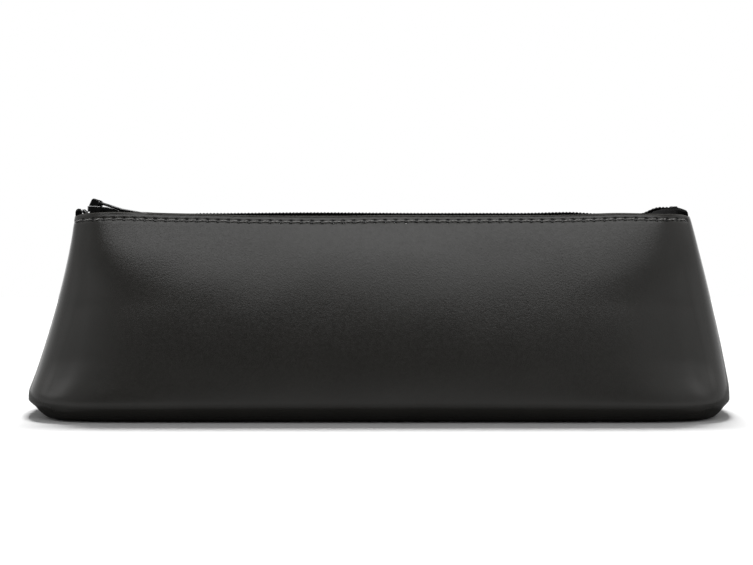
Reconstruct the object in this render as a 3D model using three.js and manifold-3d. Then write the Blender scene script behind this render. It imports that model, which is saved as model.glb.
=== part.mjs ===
// Triangle pencil case: a leather pouch that is narrow at the mouth and wide at the base,
// closed along the top by a coil zip. Millimetres, +Z up, front toward -Y, origin under the
// middle of the base.
import * as THREE from 'three';
import { mergeVertices } from 'three/addons/utils/BufferGeometryUtils.js';
import Module from 'manifold-3d';

// Leather pouch
const BASE_LENGTH = 239;
const LEAN_LEFT = 15.5;
const LEAN_RIGHT = 13.5;
const EDGE_HEIGHT = 68;
const EDGE_DROP = 0.9;
const EDGE_DROP_RUN = 8;
const DEPTH = 66;
const MOUTH_WIDTH = 16;
const MOUTH_SQUARENESS = 24;
const BODY_SQUARENESS = 9;
const BASE_ROLL = 5;
const CORNER_CUT = 3.9;
const LEATHER = 1.3;
const SEAM_GAP = 0.3;
const SEAM_ALLOWANCE = 5;
const ALLOWANCE_LEAST = 1.7;
const MOUTH_TRIM = 6;
const CORNER_TRIM = 8;
const TRIM_RUN = 15;

// Zip
const COIL_PITCH = 1.18;
const COIL_OUTER = 2.05;
const COIL_RAIL = 0.9;
const COIL_OVERLAP = 0.25;
const COIL_TOOTH = 0.36;
const COIL_THICK = 0.7;
const CORD_RADIUS = 0.22;
const TAPE_THICK = 0.5;
const TAPE_DROP = 8;
const TAPE_INNER = 0.35;
const CHAIN_LIFT = 0.25;
const CHAIN_DIP = 0.95;
const CHAIN_ARCH = 2.2;
const ARCH_FROM = 9;
const ARCH_RISE = 5.8;
const LEVEL_FROM = 24;
const LEVEL_RUN = 7;
const TAPE_END_RISE = 1.3;
const DIP_BEFORE_TIP = 2.2;
const DIP_LENGTH = 8.3;
const DIP_RUN = 12;
const COIL_PARTING = 1.15;
const ZIP_END_MARGIN = 2.9;
const STOP_LENGTH = 1.1;
const BOTTOM_STOP_LENGTH = 3.3;

// Slider and pull
const SLIDER_LENGTH = 10.2;
const SLIDER_NOSE_MARGIN = 4.7;
const SLIDER_CLEARANCE = 0.3;
const PLATE_NOSE = 1.85;
const PLATE_SHOULDER = 1.5;
const PLATE_TAIL = 0.5;
const SHOULDER_AT = 6;
const LOW_PLATE = 1.1;
const FLANGE = 0.6;
const NECK_WIDTH = 0.9;
const NECK_REACH = 4.4;
const PAWL_AT = 4.3;
const CAP_RISE = 4.5;
const CAP_WIDTH = 2.6;
const CAP_START = 0.25;
const CAP_LENGTH = 4.55;
const PULL_LENGTH = 17.1;
const CRANK_PAST_TAIL = 1;
const PULL_WIDTH = 5.6;
const PULL_THICK = 0.65;
const TAB_THICK = 1.05;
const TAB_TIP = 0.75;
const PULL_BAR = 0.55;
const BAR_CLEARANCE = 0.22;
const PULL_EYE = 4.2;
const PULL_AXIS_AT = 3.7;
const PULL_AXIS_UP = 3.05;

// Sewing
const STITCH_PITCH = 3.524;
const STITCH_INSET = 2.2;
const STITCH_END_MARGIN = 1.05;
const THREAD = 0.5;
const THREAD_GAP = 0.12;
const END_THREAD_FOOT = 16;
const END_THREAD_HEAD = 16;
const BASE_THREAD_MARGIN = 26;

// Small shared gaps
const FIT = 0.3;
const TOUCH = 0.15;

const FRONT = -1;
const BACK = 1;
const LEFT = -1;
const RIGHT = 1;

// Half length of the mouth on each side of the origin
const MOUTH_LEFT = BASE_LENGTH / 2 - LEAN_LEFT;
const MOUTH_RIGHT = BASE_LENGTH / 2 - LEAN_RIGHT;

const wasm = await Module();
wasm.setup();

function lerp(a, b, f) {
  return a + (b - a) * f;
}

function smooth(a, b, x) {
  const f = Math.min(1, Math.max(0, (x - a) / (b - a)));
  return f * f * (3 - 2 * f);
}

// Piecewise smooth curve through [x, value] knots
function through(knots, x) {
  if (x <= knots[0][0]) return knots[0][1];
  for (let i = 1; i < knots.length; i++) {
    if (x <= knots[i][0]) return lerp(knots[i - 1][1], knots[i][1], smooth(knots[i - 1][0], knots[i][0], x));
  }
  return knots[knots.length - 1][1];
}

// Height fraction: 0 at the mouth, 1 at the floor
function fall(z) {
  return Math.max(0, 1 - z / EDGE_HEIGHT);
}

function halfLength(side, h) {
  if (side === LEFT) return lerp(MOUTH_LEFT, BASE_LENGTH / 2, Math.min(1, h / 0.875) ** 1.35);
  return lerp(MOUTH_RIGHT, BASE_LENGTH / 2, 1 - (1 - Math.min(1, h / 0.86)) ** 1.3);
}

function halfDepth(h) {
  return lerp(MOUTH_WIDTH / 2, DEPTH / 2, 1 - (1 - Math.min(1, h / 0.93)) ** 1.3);
}

// Extra inset for a sloping wall, so the leather keeps its thickness square to its face
function slant(fn, h) {
  const step = 0.02;
  const a = Math.max(0, h - step);
  const b = Math.min(1, h + step);
  const slope = (fn(b) - fn(a)) / ((b - a) * EDGE_HEIGHT);
  return Math.sqrt(1 + slope * slope);
}

function endPower(h) {
  return lerp(MOUTH_SQUARENESS, BODY_SQUARENESS, smooth(0, 0.45, h));
}

function sidePower(h) {
  return lerp(2.0, 2.2, h);
}

// Outline of the pouch in plan at one height, with its outward normal
function outline(side, t, h, inset) {
  const length = halfLength(side, h) - inset * slant((v) => halfLength(side, v), h);
  const depth = halfDepth(h) - inset * slant(halfDepth, h);
  const p = endPower(h);
  const q = sidePower(h);
  const yn = Math.max(0, 1 - t ** p) ** (1 / q);
  const nx = (p * t ** (p - 1)) / length;
  const ny = (q * yn ** (q - 1)) / depth;
  const n = Math.hypot(nx, ny);
  return { x: side * length * t, y: depth * yn, nx: (side * nx) / n, ny: ny / n };
}

// The mouth edge falls away a little at both ends
function edgeHeight(side, t) {
  const mouth = side === LEFT ? MOUTH_LEFT : MOUTH_RIGHT;
  return EDGE_HEIGHT - EDGE_DROP * smooth(mouth - EDGE_DROP_RUN, mouth, mouth * t);
}

function wallPoint(side, t, z, inset) {
  const o = outline(side, t, fall(z), inset);
  return new THREE.Vector3(o.x, Math.max(o.y, SEAM_GAP / 2 + inset), z);
}

// Bottom roll, flattened to a slope at the boxed ends
function rollPoint(side, t, angle, inset) {
  const o = outline(side, t, fall(BASE_ROLL), inset);
  const r = BASE_ROLL - inset;
  const z = inset + r * (1 - Math.sin(angle));
  const round = r * (1 - Math.cos(angle));
  const cut = CORNER_CUT + inset * (Math.SQRT2 - 1) - z;
  const pull = lerp(round, Math.max(round, cut), o.nx * o.nx);
  const y = Math.max(o.y - o.ny * pull, SEAM_GAP / 2 + inset);
  return new THREE.Vector3(o.x - o.nx * pull, y, z);
}

function basePoint(side, t, s, inset) {
  const p = rollPoint(side, t, Math.PI / 2, inset);
  return new THREE.Vector3(p.x, Math.max(p.y * s, SEAM_GAP / 2 + inset), inset);
}

// Closed body from points and triangles, turned so that it faces outward
function closedBody(points, triangles) {
  let g = new THREE.BufferGeometry();
  const flat = new Float32Array(points.length * 3);
  points.forEach((p, i) => flat.set([p.x, p.y, p.z], i * 3));
  g.setAttribute('position', new THREE.BufferAttribute(flat, 3));
  g.setIndex(triangles.flat());
  g = mergeVertices(g, 1e-4);
  const index = g.getIndex().array;
  const pos = g.getAttribute('position');
  const keep = [];
  let volume = 0;
  const a = new THREE.Vector3();
  const b = new THREE.Vector3();
  const c = new THREE.Vector3();
  for (let i = 0; i < index.length; i += 3) {
    const [m, n, o] = [index[i], index[i + 1], index[i + 2]];
    if (m === n || n === o || m === o) continue;
    a.fromBufferAttribute(pos, m);
    b.fromBufferAttribute(pos, n);
    c.fromBufferAttribute(pos, o);
    volume += a.dot(b.cross(c));
    keep.push(m, n, o);
  }
  if (volume < 0) {
    for (let i = 0; i < keep.length; i += 3) [keep[i], keep[i + 1]] = [keep[i + 1], keep[i]];
  }
  g.setIndex(keep);
  g.computeVertexNormals();
  return g;
}

function quad(list, a, b, c, d) {
  list.push([a, b, c], [a, c, d]);
}

// Solid skinned over a run of closed loops; caps join point i to its partner across the loop
function skin(loops) {
  const count = loops[0].length;
  const points = loops.flat();
  const triangles = [];
  for (let i = 0; i + 1 < loops.length; i++) {
    for (let j = 0; j < count; j++) {
      const k = (j + 1) % count;
      quad(triangles, i * count + j, i * count + k, (i + 1) * count + k, (i + 1) * count + j);
    }
  }
  const last = (loops.length - 1) * count;
  for (let j = 0; j + 1 < count - 1 - j; j++) {
    const k = count - 1 - j;
    if (j + 1 === k - 1) {
      triangles.push([j, k, j + 1], [last + j, last + j + 1, last + k]);
    } else {
      quad(triangles, j, k, k - 1, j + 1);
      quad(triangles, last + j, last + j + 1, last + k - 1, last + k);
    }
  }
  return closedBody(points, triangles);
}

// Round strand along a list of points
function strand(path, radius, sides) {
  const loops = path.map((p, i) => {
    const before = path[Math.max(0, i - 1)];
    const after = path[Math.min(path.length - 1, i + 1)];
    const along = after.clone().sub(before).normalize();
    const guide = Math.abs(along.z) > 0.9 ? new THREE.Vector3(0, 1, 0) : new THREE.Vector3(0, 0, 1);
    const across = guide.clone().cross(along).normalize();
    const up = along.clone().cross(across);
    const loop = [];
    for (let k = 0; k < sides; k++) {
      const a = ((k + 0.5) / sides) * Math.PI * 2;
      loop.push(
        p.clone().addScaledVector(across, radius * Math.cos(a)).addScaledVector(up, radius * Math.sin(a)),
      );
    }
    return loop;
  });
  return skin(loops);
}

function mirrored(point, face) {
  return new THREE.Vector3(point.x, face * point.y, point.z);
}

// Leather panel: face, bottom roll, half base and half of both ends, with turned-in allowances
function panel(face) {
  const columns = [];
  const half = 11;
  for (let i = 0; i <= half; i++) columns.push([LEFT, 1 - (i / half) ** 2.4]);
  for (let i = 1; i <= half; i++) columns.push([RIGHT, 1 - (1 - i / half) ** 2.4]);
  const rows = [];
  const faceRows = 9;
  for (let i = 0; i <= faceRows; i++) rows.push({ kind: 'wall', f: i / faceRows });
  for (let i = 1; i <= 4; i++) rows.push({ kind: 'roll', f: (i / 4) * (Math.PI / 2) });
  for (const f of [0.5, 0]) rows.push({ kind: 'base', f });
  const rollEnd = faceRows + 4;

  function place(column, row, inset) {
    const [side, t] = columns[column];
    if (row.kind === 'roll') return rollPoint(side, t, row.f, inset);
    if (row.kind === 'base') return basePoint(side, t, row.f, inset);
    const top = edgeHeight(side, t);
    return wallPoint(side, t, lerp(top, BASE_ROLL, row.f), inset);
  }

  const points = [];
  const triangles = [];
  const width = columns.length;
  for (const inset of [0, LEATHER]) {
    for (const row of rows) {
      for (let c = 0; c < width; c++) points.push(mirrored(place(c, row, inset), face));
    }
  }
  const sheet = rows.length * width;
  const at = (layer, r, c) => layer * sheet + r * width + c;
  for (let r = 0; r + 1 < rows.length; r++) {
    for (let c = 0; c + 1 < width; c++) {
      quad(triangles, at(0, r, c), at(0, r, c + 1), at(0, r + 1, c + 1), at(0, r + 1, c));
      quad(triangles, at(1, r, c), at(1, r + 1, c), at(1, r + 1, c + 1), at(1, r, c + 1));
    }
  }
  for (let c = 0; c + 1 < width; c++) {
    quad(triangles, at(0, 0, c), at(1, 0, c), at(1, 0, c + 1), at(0, 0, c + 1));
  }

  // Allowance: the seam edge turned inward in the plane of the seam
  const rim = [];
  for (let r = 0; r <= rollEnd; r++) rim.push([r, 0]);
  for (let c = 1; c + 1 < width; c++) rim.push([rows.length - 1, c]);
  for (let r = rollEnd; r >= 0; r--) rim.push([r, width - 1]);
  const outer = rim.map(([r, c]) => at(0, r, c));
  const inner = rim.map(([r, c]) => at(1, r, c));
  const tipOuter = [];
  const tipInner = [];
  for (let i = 0; i < rim.length; i++) {
    const here = points[outer[i]];
    const before = points[outer[Math.max(0, i - 1)]];
    const after = points[outer[Math.min(rim.length - 1, i + 1)]];
    const dx = after.x - before.x;
    const dz = after.z - before.z;
    const n = Math.hypot(dx, dz);
    const wide = allowance(here.x, here.z);
    const tip = new THREE.Vector3(here.x - (dz / n) * wide, here.y, here.z + (dx / n) * wide);
    if (i === 0 || i === rim.length - 1) tip.z = here.z;
    tipOuter.push(points.push(tip) - 1);
    const y = face * (SEAM_GAP / 2 + LEATHER);
    tipInner.push(points.push(new THREE.Vector3(tip.x, y, tip.z)) - 1);
  }
  for (let i = 0; i + 1 < rim.length; i++) {
    quad(triangles, outer[i], outer[i + 1], tipOuter[i + 1], tipOuter[i]);
    quad(triangles, tipOuter[i], tipOuter[i + 1], tipInner[i + 1], tipInner[i]);
    quad(triangles, tipInner[i], tipInner[i + 1], inner[i + 1], inner[i]);
  }
  const e = rim.length - 1;
  quad(triangles, outer[0], tipOuter[0], tipInner[0], inner[0]);
  quad(triangles, outer[e], inner[e], tipInner[e], tipOuter[e]);
  return closedBody(points, triangles);
}

// Allowance width: full along the seams, trimmed at the mouth and at the boxed corners
function allowance(x, z) {
  const mouth = smooth(MOUTH_TRIM, MOUTH_TRIM + TRIM_RUN, EDGE_HEIGHT - z);
  const corner = Math.hypot(Math.abs(x) - BASE_LENGTH / 2, z);
  const trim = Math.min(mouth, smooth(CORNER_TRIM, CORNER_TRIM + TRIM_RUN, corner));
  return lerp(ALLOWANCE_LEAST, SEAM_ALLOWANCE, trim);
}

// Zip line: where it starts and ends, how high the chain runs and how the coils part at the slider
const ZIP_LEFT = -MOUTH_LEFT + ZIP_END_MARGIN;
const ZIP_RIGHT = MOUTH_RIGHT - ZIP_END_MARGIN;
const NOSE = -MOUTH_LEFT + SLIDER_NOSE_MARGIN;
const TAIL = NOSE + SLIDER_LENGTH;
const COIL_LEFT = NOSE - FIT;
const BOTTOM_STOP_X = ZIP_RIGHT - BOTTOM_STOP_LENGTH;
const COIL_RIGHT = BOTTOM_STOP_X - FIT;
const PULL_AXIS_X = NOSE + PULL_AXIS_AT;
const PULL_TIP_X = PULL_AXIS_X + PULL_LENGTH;
const DIP_START = PULL_TIP_X - DIP_BEFORE_TIP;
const DIP_END = DIP_START + DIP_LENGTH;
const LEVEL_X = COIL_RIGHT - LEVEL_FROM;
const ARCH_X = COIL_RIGHT - ARCH_FROM;

function chainTop(x) {
  const knots = [
    [ZIP_LEFT, TAPE_END_RISE],
    [COIL_LEFT, CHAIN_LIFT],
    [TAIL + 1, CHAIN_LIFT],
    [DIP_START, -CHAIN_DIP],
    [DIP_END, -CHAIN_DIP],
    [DIP_END + DIP_RUN, CHAIN_LIFT],
    [LEVEL_X - LEVEL_RUN, CHAIN_LIFT],
    [LEVEL_X, 0],
    [ARCH_X, 0],
    [ARCH_X + ARCH_RISE, CHAIN_ARCH],
    [ZIP_RIGHT - 1.5, CHAIN_ARCH],
    [ZIP_RIGHT, CHAIN_ARCH - 0.7],
  ];
  return EDGE_HEIGHT + through(knots, x);
}

function parting(x) {
  return COIL_PARTING * (1 - smooth(NOSE + 1.2, TAIL - 0.6, x));
}

// Stations along the zip, close together only where the chain bends
const BEND_STEP = 2.7;
const STRAIGHT_STEP = 22;

function straight(x) {
  return x > DIP_END + DIP_RUN && x < LEVEL_X - LEVEL_RUN - BEND_STEP;
}

function stations(from, to) {
  const list = [from];
  let x = NOSE + BEND_STEP * Math.ceil((from + FIT - NOSE) / BEND_STEP);
  while (x < to - FIT) {
    list.push(x);
    x += straight(x) ? Math.min(STRAIGHT_STEP, LEVEL_X - LEVEL_RUN - x) : BEND_STEP;
  }
  list.push(to);
  return list;
}

const COIL_BOTTOM = COIL_THICK;
const CORD_LOW = COIL_BOTTOM + TOUCH + 2 * CORD_RADIUS;
const TAPE_TOP = CORD_LOW + TOUCH;
const TAPE_LOW = TAPE_TOP + TAPE_THICK;

// Half depth inside the leather at a place along the mouth
function insideWall(x, z) {
  const side = x < 0 ? LEFT : RIGHT;
  const h = fall(z);
  const length = halfLength(side, h) - LEATHER * slant((v) => halfLength(side, v), h);
  const o = outline(side, Math.min(0.9999, Math.abs(x) / length), h, LEATHER);
  return o.y;
}

// Tape: flat under its coil, then bent down along the inside of the leather
function zipTape(face) {
  const loops = stations(ZIP_LEFT, ZIP_RIGHT).map((x) => {
    const top = chainTop(x) - TAPE_TOP;
    const hang = EDGE_HEIGHT - EDGE_DROP - TAPE_TOP;
    const wall = (z) => Math.max(0.8, insideWall(x * 1.004, z) - FIT);
    const path = [
      [TAPE_INNER + parting(x), top],
      [COIL_OUTER + parting(x) + 0.35, top],
      [lerp(COIL_OUTER + parting(x), wall(hang), 0.7), lerp(top, hang, 0.55) - 0.1],
      [wall(hang - 1.2) - 0.15, hang - 1.2],
      [wall(hang - TAPE_DROP / 2), hang - TAPE_DROP / 2],
      [wall(hang - TAPE_DROP), hang - TAPE_DROP],
    ];
    for (const point of path) point[0] = Math.min(point[0], wall(Math.min(point[1], EDGE_HEIGHT)));
    const over = [];
    const under = [];
    path.forEach(([y, z], i) => {
      const a = path[Math.max(0, i - 1)];
      const b = path[Math.min(path.length - 1, i + 1)];
      const n = Math.hypot(b[0] - a[0], b[1] - a[1]);
      const ny = (b[1] - a[1]) / n;
      const nz = -(b[0] - a[0]) / n;
      over.push(new THREE.Vector3(x, face * y, z));
      under.push(new THREE.Vector3(x, face * (y + ny * TAPE_THICK), z + nz * TAPE_THICK));
    });
    return [...over, ...under.reverse()];
  });
  return skin(loops);
}

// Triangles between two lines of points that both run along x
function zipper(lower, upper) {
  const triangles = [];
  let i = 0;
  let j = 0;
  while (i + 1 < lower.length || j + 1 < upper.length) {
    const stepLower = j + 1 >= upper.length || (i + 1 < lower.length && lower[i + 1].x <= upper[j + 1].x);
    if (stepLower) {
      triangles.push([lower[i].id, lower[i + 1].id, upper[j].id]);
      i += 1;
    } else {
      triangles.push([lower[i].id, upper[j + 1].id, upper[j].id]);
      j += 1;
    }
  }
  return triangles;
}

// Coil: a rail of loops whose heads stand between the heads of the other coil
function zipCoil(face) {
  const points = [];
  const triangles = [];
  // Each corner has a point on top and, next in the list, one below
  function corner(x, y) {
    const top = chainTop(x);
    const out = face * (y + parting(x));
    points.push(new THREE.Vector3(x, out, top), new THREE.Vector3(x, out, top - COIL_THICK));
    return { x, id: points.length - 2 };
  }
  function wall(a, b) {
    quad(triangles, a.id, b.id, b.id + 1, a.id + 1);
  }
  const rail = COIL_OUTER - COIL_RAIL;
  const heads = [];
  const first = COIL_LEFT + COIL_PITCH * (face === FRONT ? 0.5 : 1);
  for (let x = first; x < COIL_RIGHT - COIL_PITCH * 0.4; x += COIL_PITCH) heads.push(x);
  const inner = [corner(COIL_LEFT, rail)];
  const outer = [corner(COIL_LEFT, COIL_OUTER)];
  heads.forEach((x, i) => {
    const a = corner(x - COIL_TOOTH / 2, rail);
    const b = corner(x + COIL_TOOTH / 2, rail);
    const tipA = corner(x - COIL_TOOTH / 2, -COIL_OVERLAP);
    const tipB = corner(x + COIL_TOOTH / 2, -COIL_OVERLAP);
    wall(inner[inner.length - 1], a);
    wall(a, tipA);
    wall(tipA, tipB);
    wall(tipB, b);
    quad(triangles, a.id, b.id, tipB.id, tipA.id);
    quad(triangles, a.id + 1, tipA.id + 1, tipB.id + 1, b.id + 1);
    inner.push(a, b);
    const every = straight(x) ? 8 : 2;
    if (i % every === 1) outer.push(corner(x, COIL_OUTER));
  });
  inner.push(corner(COIL_RIGHT, rail));
  outer.push(corner(COIL_RIGHT, COIL_OUTER));
  wall(inner[inner.length - 2], inner[inner.length - 1]);
  wall(inner[inner.length - 1], outer[outer.length - 1]);
  for (let i = outer.length - 1; i > 0; i--) wall(outer[i], outer[i - 1]);
  wall(outer[0], inner[0]);
  for (const [a, b, c] of zipper(inner, outer)) {
    triangles.push([a, c, b], [a + 1, b + 1, c + 1]);
  }
  return closedBody(points, triangles);
}

// Plain closed geometry: one vertex per corner, outward faces
function welded(geometry) {
  geometry.deleteAttribute('normal');
  geometry.deleteAttribute('uv');
  const g = mergeVertices(geometry, 1e-4);
  const pos = g.getAttribute('position');
  const index = g.getIndex().array;
  const points = [];
  for (let i = 0; i < pos.count; i++) points.push(new THREE.Vector3().fromBufferAttribute(pos, i));
  const triangles = [];
  for (let i = 0; i < index.length; i += 3) triangles.push([index[i], index[i + 1], index[i + 2]]);
  return closedBody(points, triangles);
}

function coilCord(face) {
  const path = stations(COIL_LEFT + 0.2, COIL_RIGHT - 0.2).map((x) => {
    const y = COIL_OUTER - COIL_RAIL / 2 + parting(x);
    return new THREE.Vector3(x, face * y, chainTop(x) - COIL_BOTTOM - TOUCH - CORD_RADIUS);
  });
  return strand(path, CORD_RADIUS, 4);
}

// Solid work for the slider
function solidOf(geometry) {
  const g = welded(geometry);
  return new wasm.Manifold(
    new wasm.Mesh({
      numProp: 3,
      vertProperties: new Float32Array(g.getAttribute('position').array),
      triVerts: new Uint32Array(g.getIndex().array),
    }),
  );
}

function bodyOf(solid) {
  const mesh = solid.getMesh();
  const points = [];
  for (let i = 0; i < mesh.vertProperties.length; i += mesh.numProp) {
    points.push(new THREE.Vector3(mesh.vertProperties[i], mesh.vertProperties[i + 1], mesh.vertProperties[i + 2]));
  }
  const triangles = [];
  for (let i = 0; i < mesh.triVerts.length; i += 3) {
    triangles.push([mesh.triVerts[i], mesh.triVerts[i + 1], mesh.triVerts[i + 2]]);
  }
  return closedBody(points, triangles);
}

// Prism standing on z, from an outline of [x, y] pairs
function prism(outlinePoints, z, height) {
  const shape = new THREE.Shape(outlinePoints.map(([x, y]) => new THREE.Vector2(x, y)));
  const g = new THREE.ExtrudeGeometry(shape, { depth: height, bevelEnabled: false });
  g.translate(0, 0, z);
  return g;
}

// Prism lying across y, from a side profile of [x, z] pairs
function crossPrism(profile, width) {
  const shape = new THREE.Shape(profile.map(([x, z]) => new THREE.Vector2(x, z)));
  const g = new THREE.ExtrudeGeometry(shape, { depth: width, bevelEnabled: false });
  g.rotateX(Math.PI / 2);
  g.translate(0, width / 2, 0);
  return g;
}

function block(x0, x1, y0, y1, z0, z1) {
  const g = new THREE.BoxGeometry(x1 - x0, y1 - y0, z1 - z0);
  g.translate((x0 + x1) / 2, (y0 + y1) / 2, (z0 + z1) / 2);
  return g;
}

const SLIDER_CHAIN = EDGE_HEIGHT + CHAIN_LIFT;
const TOP_PLATE_Z = SLIDER_CHAIN + SLIDER_CLEARANCE;
const LOW_PLATE_Z = SLIDER_CHAIN - TAPE_LOW - SLIDER_CLEARANCE;
const PULL_AXIS_Z = TOP_PLATE_Z + PULL_AXIS_UP;
const SHOULDER = NOSE + SHOULDER_AT;
const PAWL_X = NOSE + PAWL_AT;

// Top of the upper plate, which slopes down to the tail
function plateTop(x) {
  if (x < SHOULDER) return TOP_PLATE_Z + lerp(PLATE_NOSE, PLATE_SHOULDER, (x - NOSE) / SHOULDER_AT);
  return TOP_PLATE_Z + lerp(PLATE_SHOULDER, PLATE_TAIL, (x - SHOULDER) / (TAIL - SHOULDER));
}

// The stem of the pull rests just above the tail, the pull bends a little past it and its tip lies on the chain
const REST_RUN = TAIL - PULL_AXIS_X;
const REST_DROP = PULL_AXIS_UP - PLATE_TAIL - TOUCH;
const PULL_REST = Math.atan2(REST_DROP, REST_RUN) - Math.asin(PULL_THICK / 2 / Math.hypot(REST_RUN, REST_DROP));
const PULL_CRANK = (REST_RUN + CRANK_PAST_TAIL) / Math.cos(PULL_REST);
const PULL_REACH = PULL_LENGTH - PULL_CRANK;
const TIP_UNDER = TAB_TIP - PULL_THICK / 2;
const TIP_DROP = PULL_AXIS_Z - PULL_CRANK * Math.sin(PULL_REST) - (EDGE_HEIGHT - CHAIN_DIP) - TOUCH;
const PULL_LIE = Math.asin(TIP_DROP / Math.hypot(PULL_REACH, TIP_UNDER)) - Math.atan2(TIP_UNDER, PULL_REACH);

function plateHalf(x) {
  return COIL_OUTER + parting(x) + SLIDER_CLEARANCE + FLANGE;
}

// Plate outline: wide rounded nose, narrower square tail
function plateOutline(shrink) {
  const side = [];
  side.push([NOSE + 0.35 * shrink, plateHalf(NOSE) * 0.55]);
  side.push([NOSE + 0.5 + 0.2 * shrink, plateHalf(NOSE) - 0.5 - 0.2 * shrink]);
  for (const f of [0.16, 0.3, 0.44, 0.58, 0.72, 0.86]) {
    const x = NOSE + SLIDER_LENGTH * f;
    side.push([x, plateHalf(x) - 0.2 * shrink]);
  }
  side.push([TAIL - 0.5, plateHalf(TAIL) - 0.2 * shrink]);
  side.push([TAIL, plateHalf(TAIL) - 0.7]);
  const other = side.map(([x, y]) => [x, -y]).reverse();
  return [...side, ...other];
}

function sliderBody() {
  const above = [NOSE - 1, SHOULDER, TAIL + 1].map((x) => [x, plateTop(x)]);
  above.push([TAIL + 1, TOP_PLATE_Z + 2 * PLATE_NOSE], [NOSE - 1, TOP_PLATE_Z + 2 * PLATE_NOSE]);
  const upper = solidOf(prism(plateOutline(0), TOP_PLATE_Z, 1.5 * PLATE_NOSE)).subtract(
    solidOf(crossPrism(above, 4 * COIL_OUTER + 4)),
  );
  const lower = solidOf(prism(plateOutline(1), LOW_PLATE_Z - LOW_PLATE, LOW_PLATE));
  const neckHalf = NECK_WIDTH / 2;
  const neck = solidOf(
    prism(
      [
        [NOSE + 0.5, -neckHalf * 0.7],
        [NOSE + 1.2, -neckHalf],
        [NOSE + 2.6, -neckHalf],
        [NOSE + NECK_REACH, -0.08],
        [NOSE + NECK_REACH, 0.08],
        [NOSE + 2.6, neckHalf],
        [NOSE + 1.2, neckHalf],
        [NOSE + 0.5, neckHalf * 0.7],
      ],
      LOW_PLATE_Z - LOW_PLATE / 2,
      TOP_PLATE_Z - LOW_PLATE_Z + LOW_PLATE,
    ),
  );
  let body = upper.add(lower).add(neck);
  const low = SLIDER_CHAIN - TAPE_TOP + SLIDER_CLEARANCE;
  for (const face of [FRONT, BACK]) {
    const outerLine = [];
    const innerLine = [];
    for (const f of [0.1, 0.22, 0.34, 0.46, 0.58, 0.7, 0.82, 0.94]) {
      const x = NOSE + SLIDER_LENGTH * f;
      outerLine.push([x, face * plateHalf(x)]);
      innerLine.push([x, face * (plateHalf(x) - FLANGE)]);
    }
    const rail = prism([...outerLine, ...innerLine.reverse()], low, TOP_PLATE_Z - low + PLATE_TAIL / 2);
    body = body.add(solidOf(rail));
  }
  const hole = block(PAWL_X - 0.65, PAWL_X + 0.65, -0.75, 0.75, TOP_PLATE_Z - 1, plateTop(PAWL_X) + 1);
  return bodyOf(body.subtract(solidOf(hole)));
}

// Cap: a tall block on the nose, bored across for the bar of the pull and slotted for the pawl
function sliderCap() {
  const start = NOSE + CAP_START;
  const back = start + CAP_LENGTH;
  const top = TOP_PLATE_Z + CAP_RISE;
  const profile = [
    [start, plateTop(start) + TOUCH],
    [start + 1.05, top - 0.35],
    [start + 1.55, top],
    [back - 0.7, top - 0.7],
    [back - 0.3, top - 0.9],
    [back, top - 1.35],
    [back - 0.15, plateTop(back) + TOUCH],
  ];
  const cap = solidOf(crossPrism(profile, CAP_WIDTH));
  const boreRadius = PULL_BAR / 2 + BAR_CLEARANCE;
  const bore = new THREE.CylinderGeometry(boreRadius, boreRadius, CAP_WIDTH + 2, 16);
  bore.translate(PULL_AXIS_X, 0, PULL_AXIS_Z);
  const slot = block(PAWL_FROM - FIT, back + 1, -0.7, 0.7, PAWL_Z - 1, PAWL_Z + PAWL_LEAF + 0.2);
  return bodyOf(cap.subtract(solidOf(bore)).subtract(solidOf(slot)));
}

// Pawl: a leaf under the cap with a pin that drops through the plate onto the chain
const PAWL_LEAF = 0.25;
const PAWL_FROM = NOSE + 2.1;
const PAWL_Z = plateTop(PAWL_FROM) + TOUCH;

function lockPawl() {
  const pinLow = SLIDER_CHAIN + TOUCH;
  const profile = [
    [PAWL_FROM, PAWL_Z],
    [PAWL_X - 0.3, PAWL_Z],
    [PAWL_X - 0.2, pinLow],
    [PAWL_X + 0.2, pinLow],
    [PAWL_X + 0.3, PAWL_Z],
    [PAWL_X + 0.3, PAWL_Z + PAWL_LEAF],
    [PAWL_FROM, PAWL_Z + PAWL_LEAF],
  ];
  return welded(crossPrism(profile, 0.9));
}

// Flat plate with softened edges, lying in x and y with its top at the height of the stem's top
function softPlate(shape, thick) {
  const rim = 0.15;
  const g = new THREE.ExtrudeGeometry(shape, {
    depth: thick - 2 * rim,
    bevelEnabled: true,
    bevelThickness: rim,
    bevelSize: rim,
    bevelOffset: -rim,
    bevelSegments: 1,
    curveSegments: 6,
  });
  g.translate(0, 0, PULL_THICK / 2 - thick + rim);
  return g;
}

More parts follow.
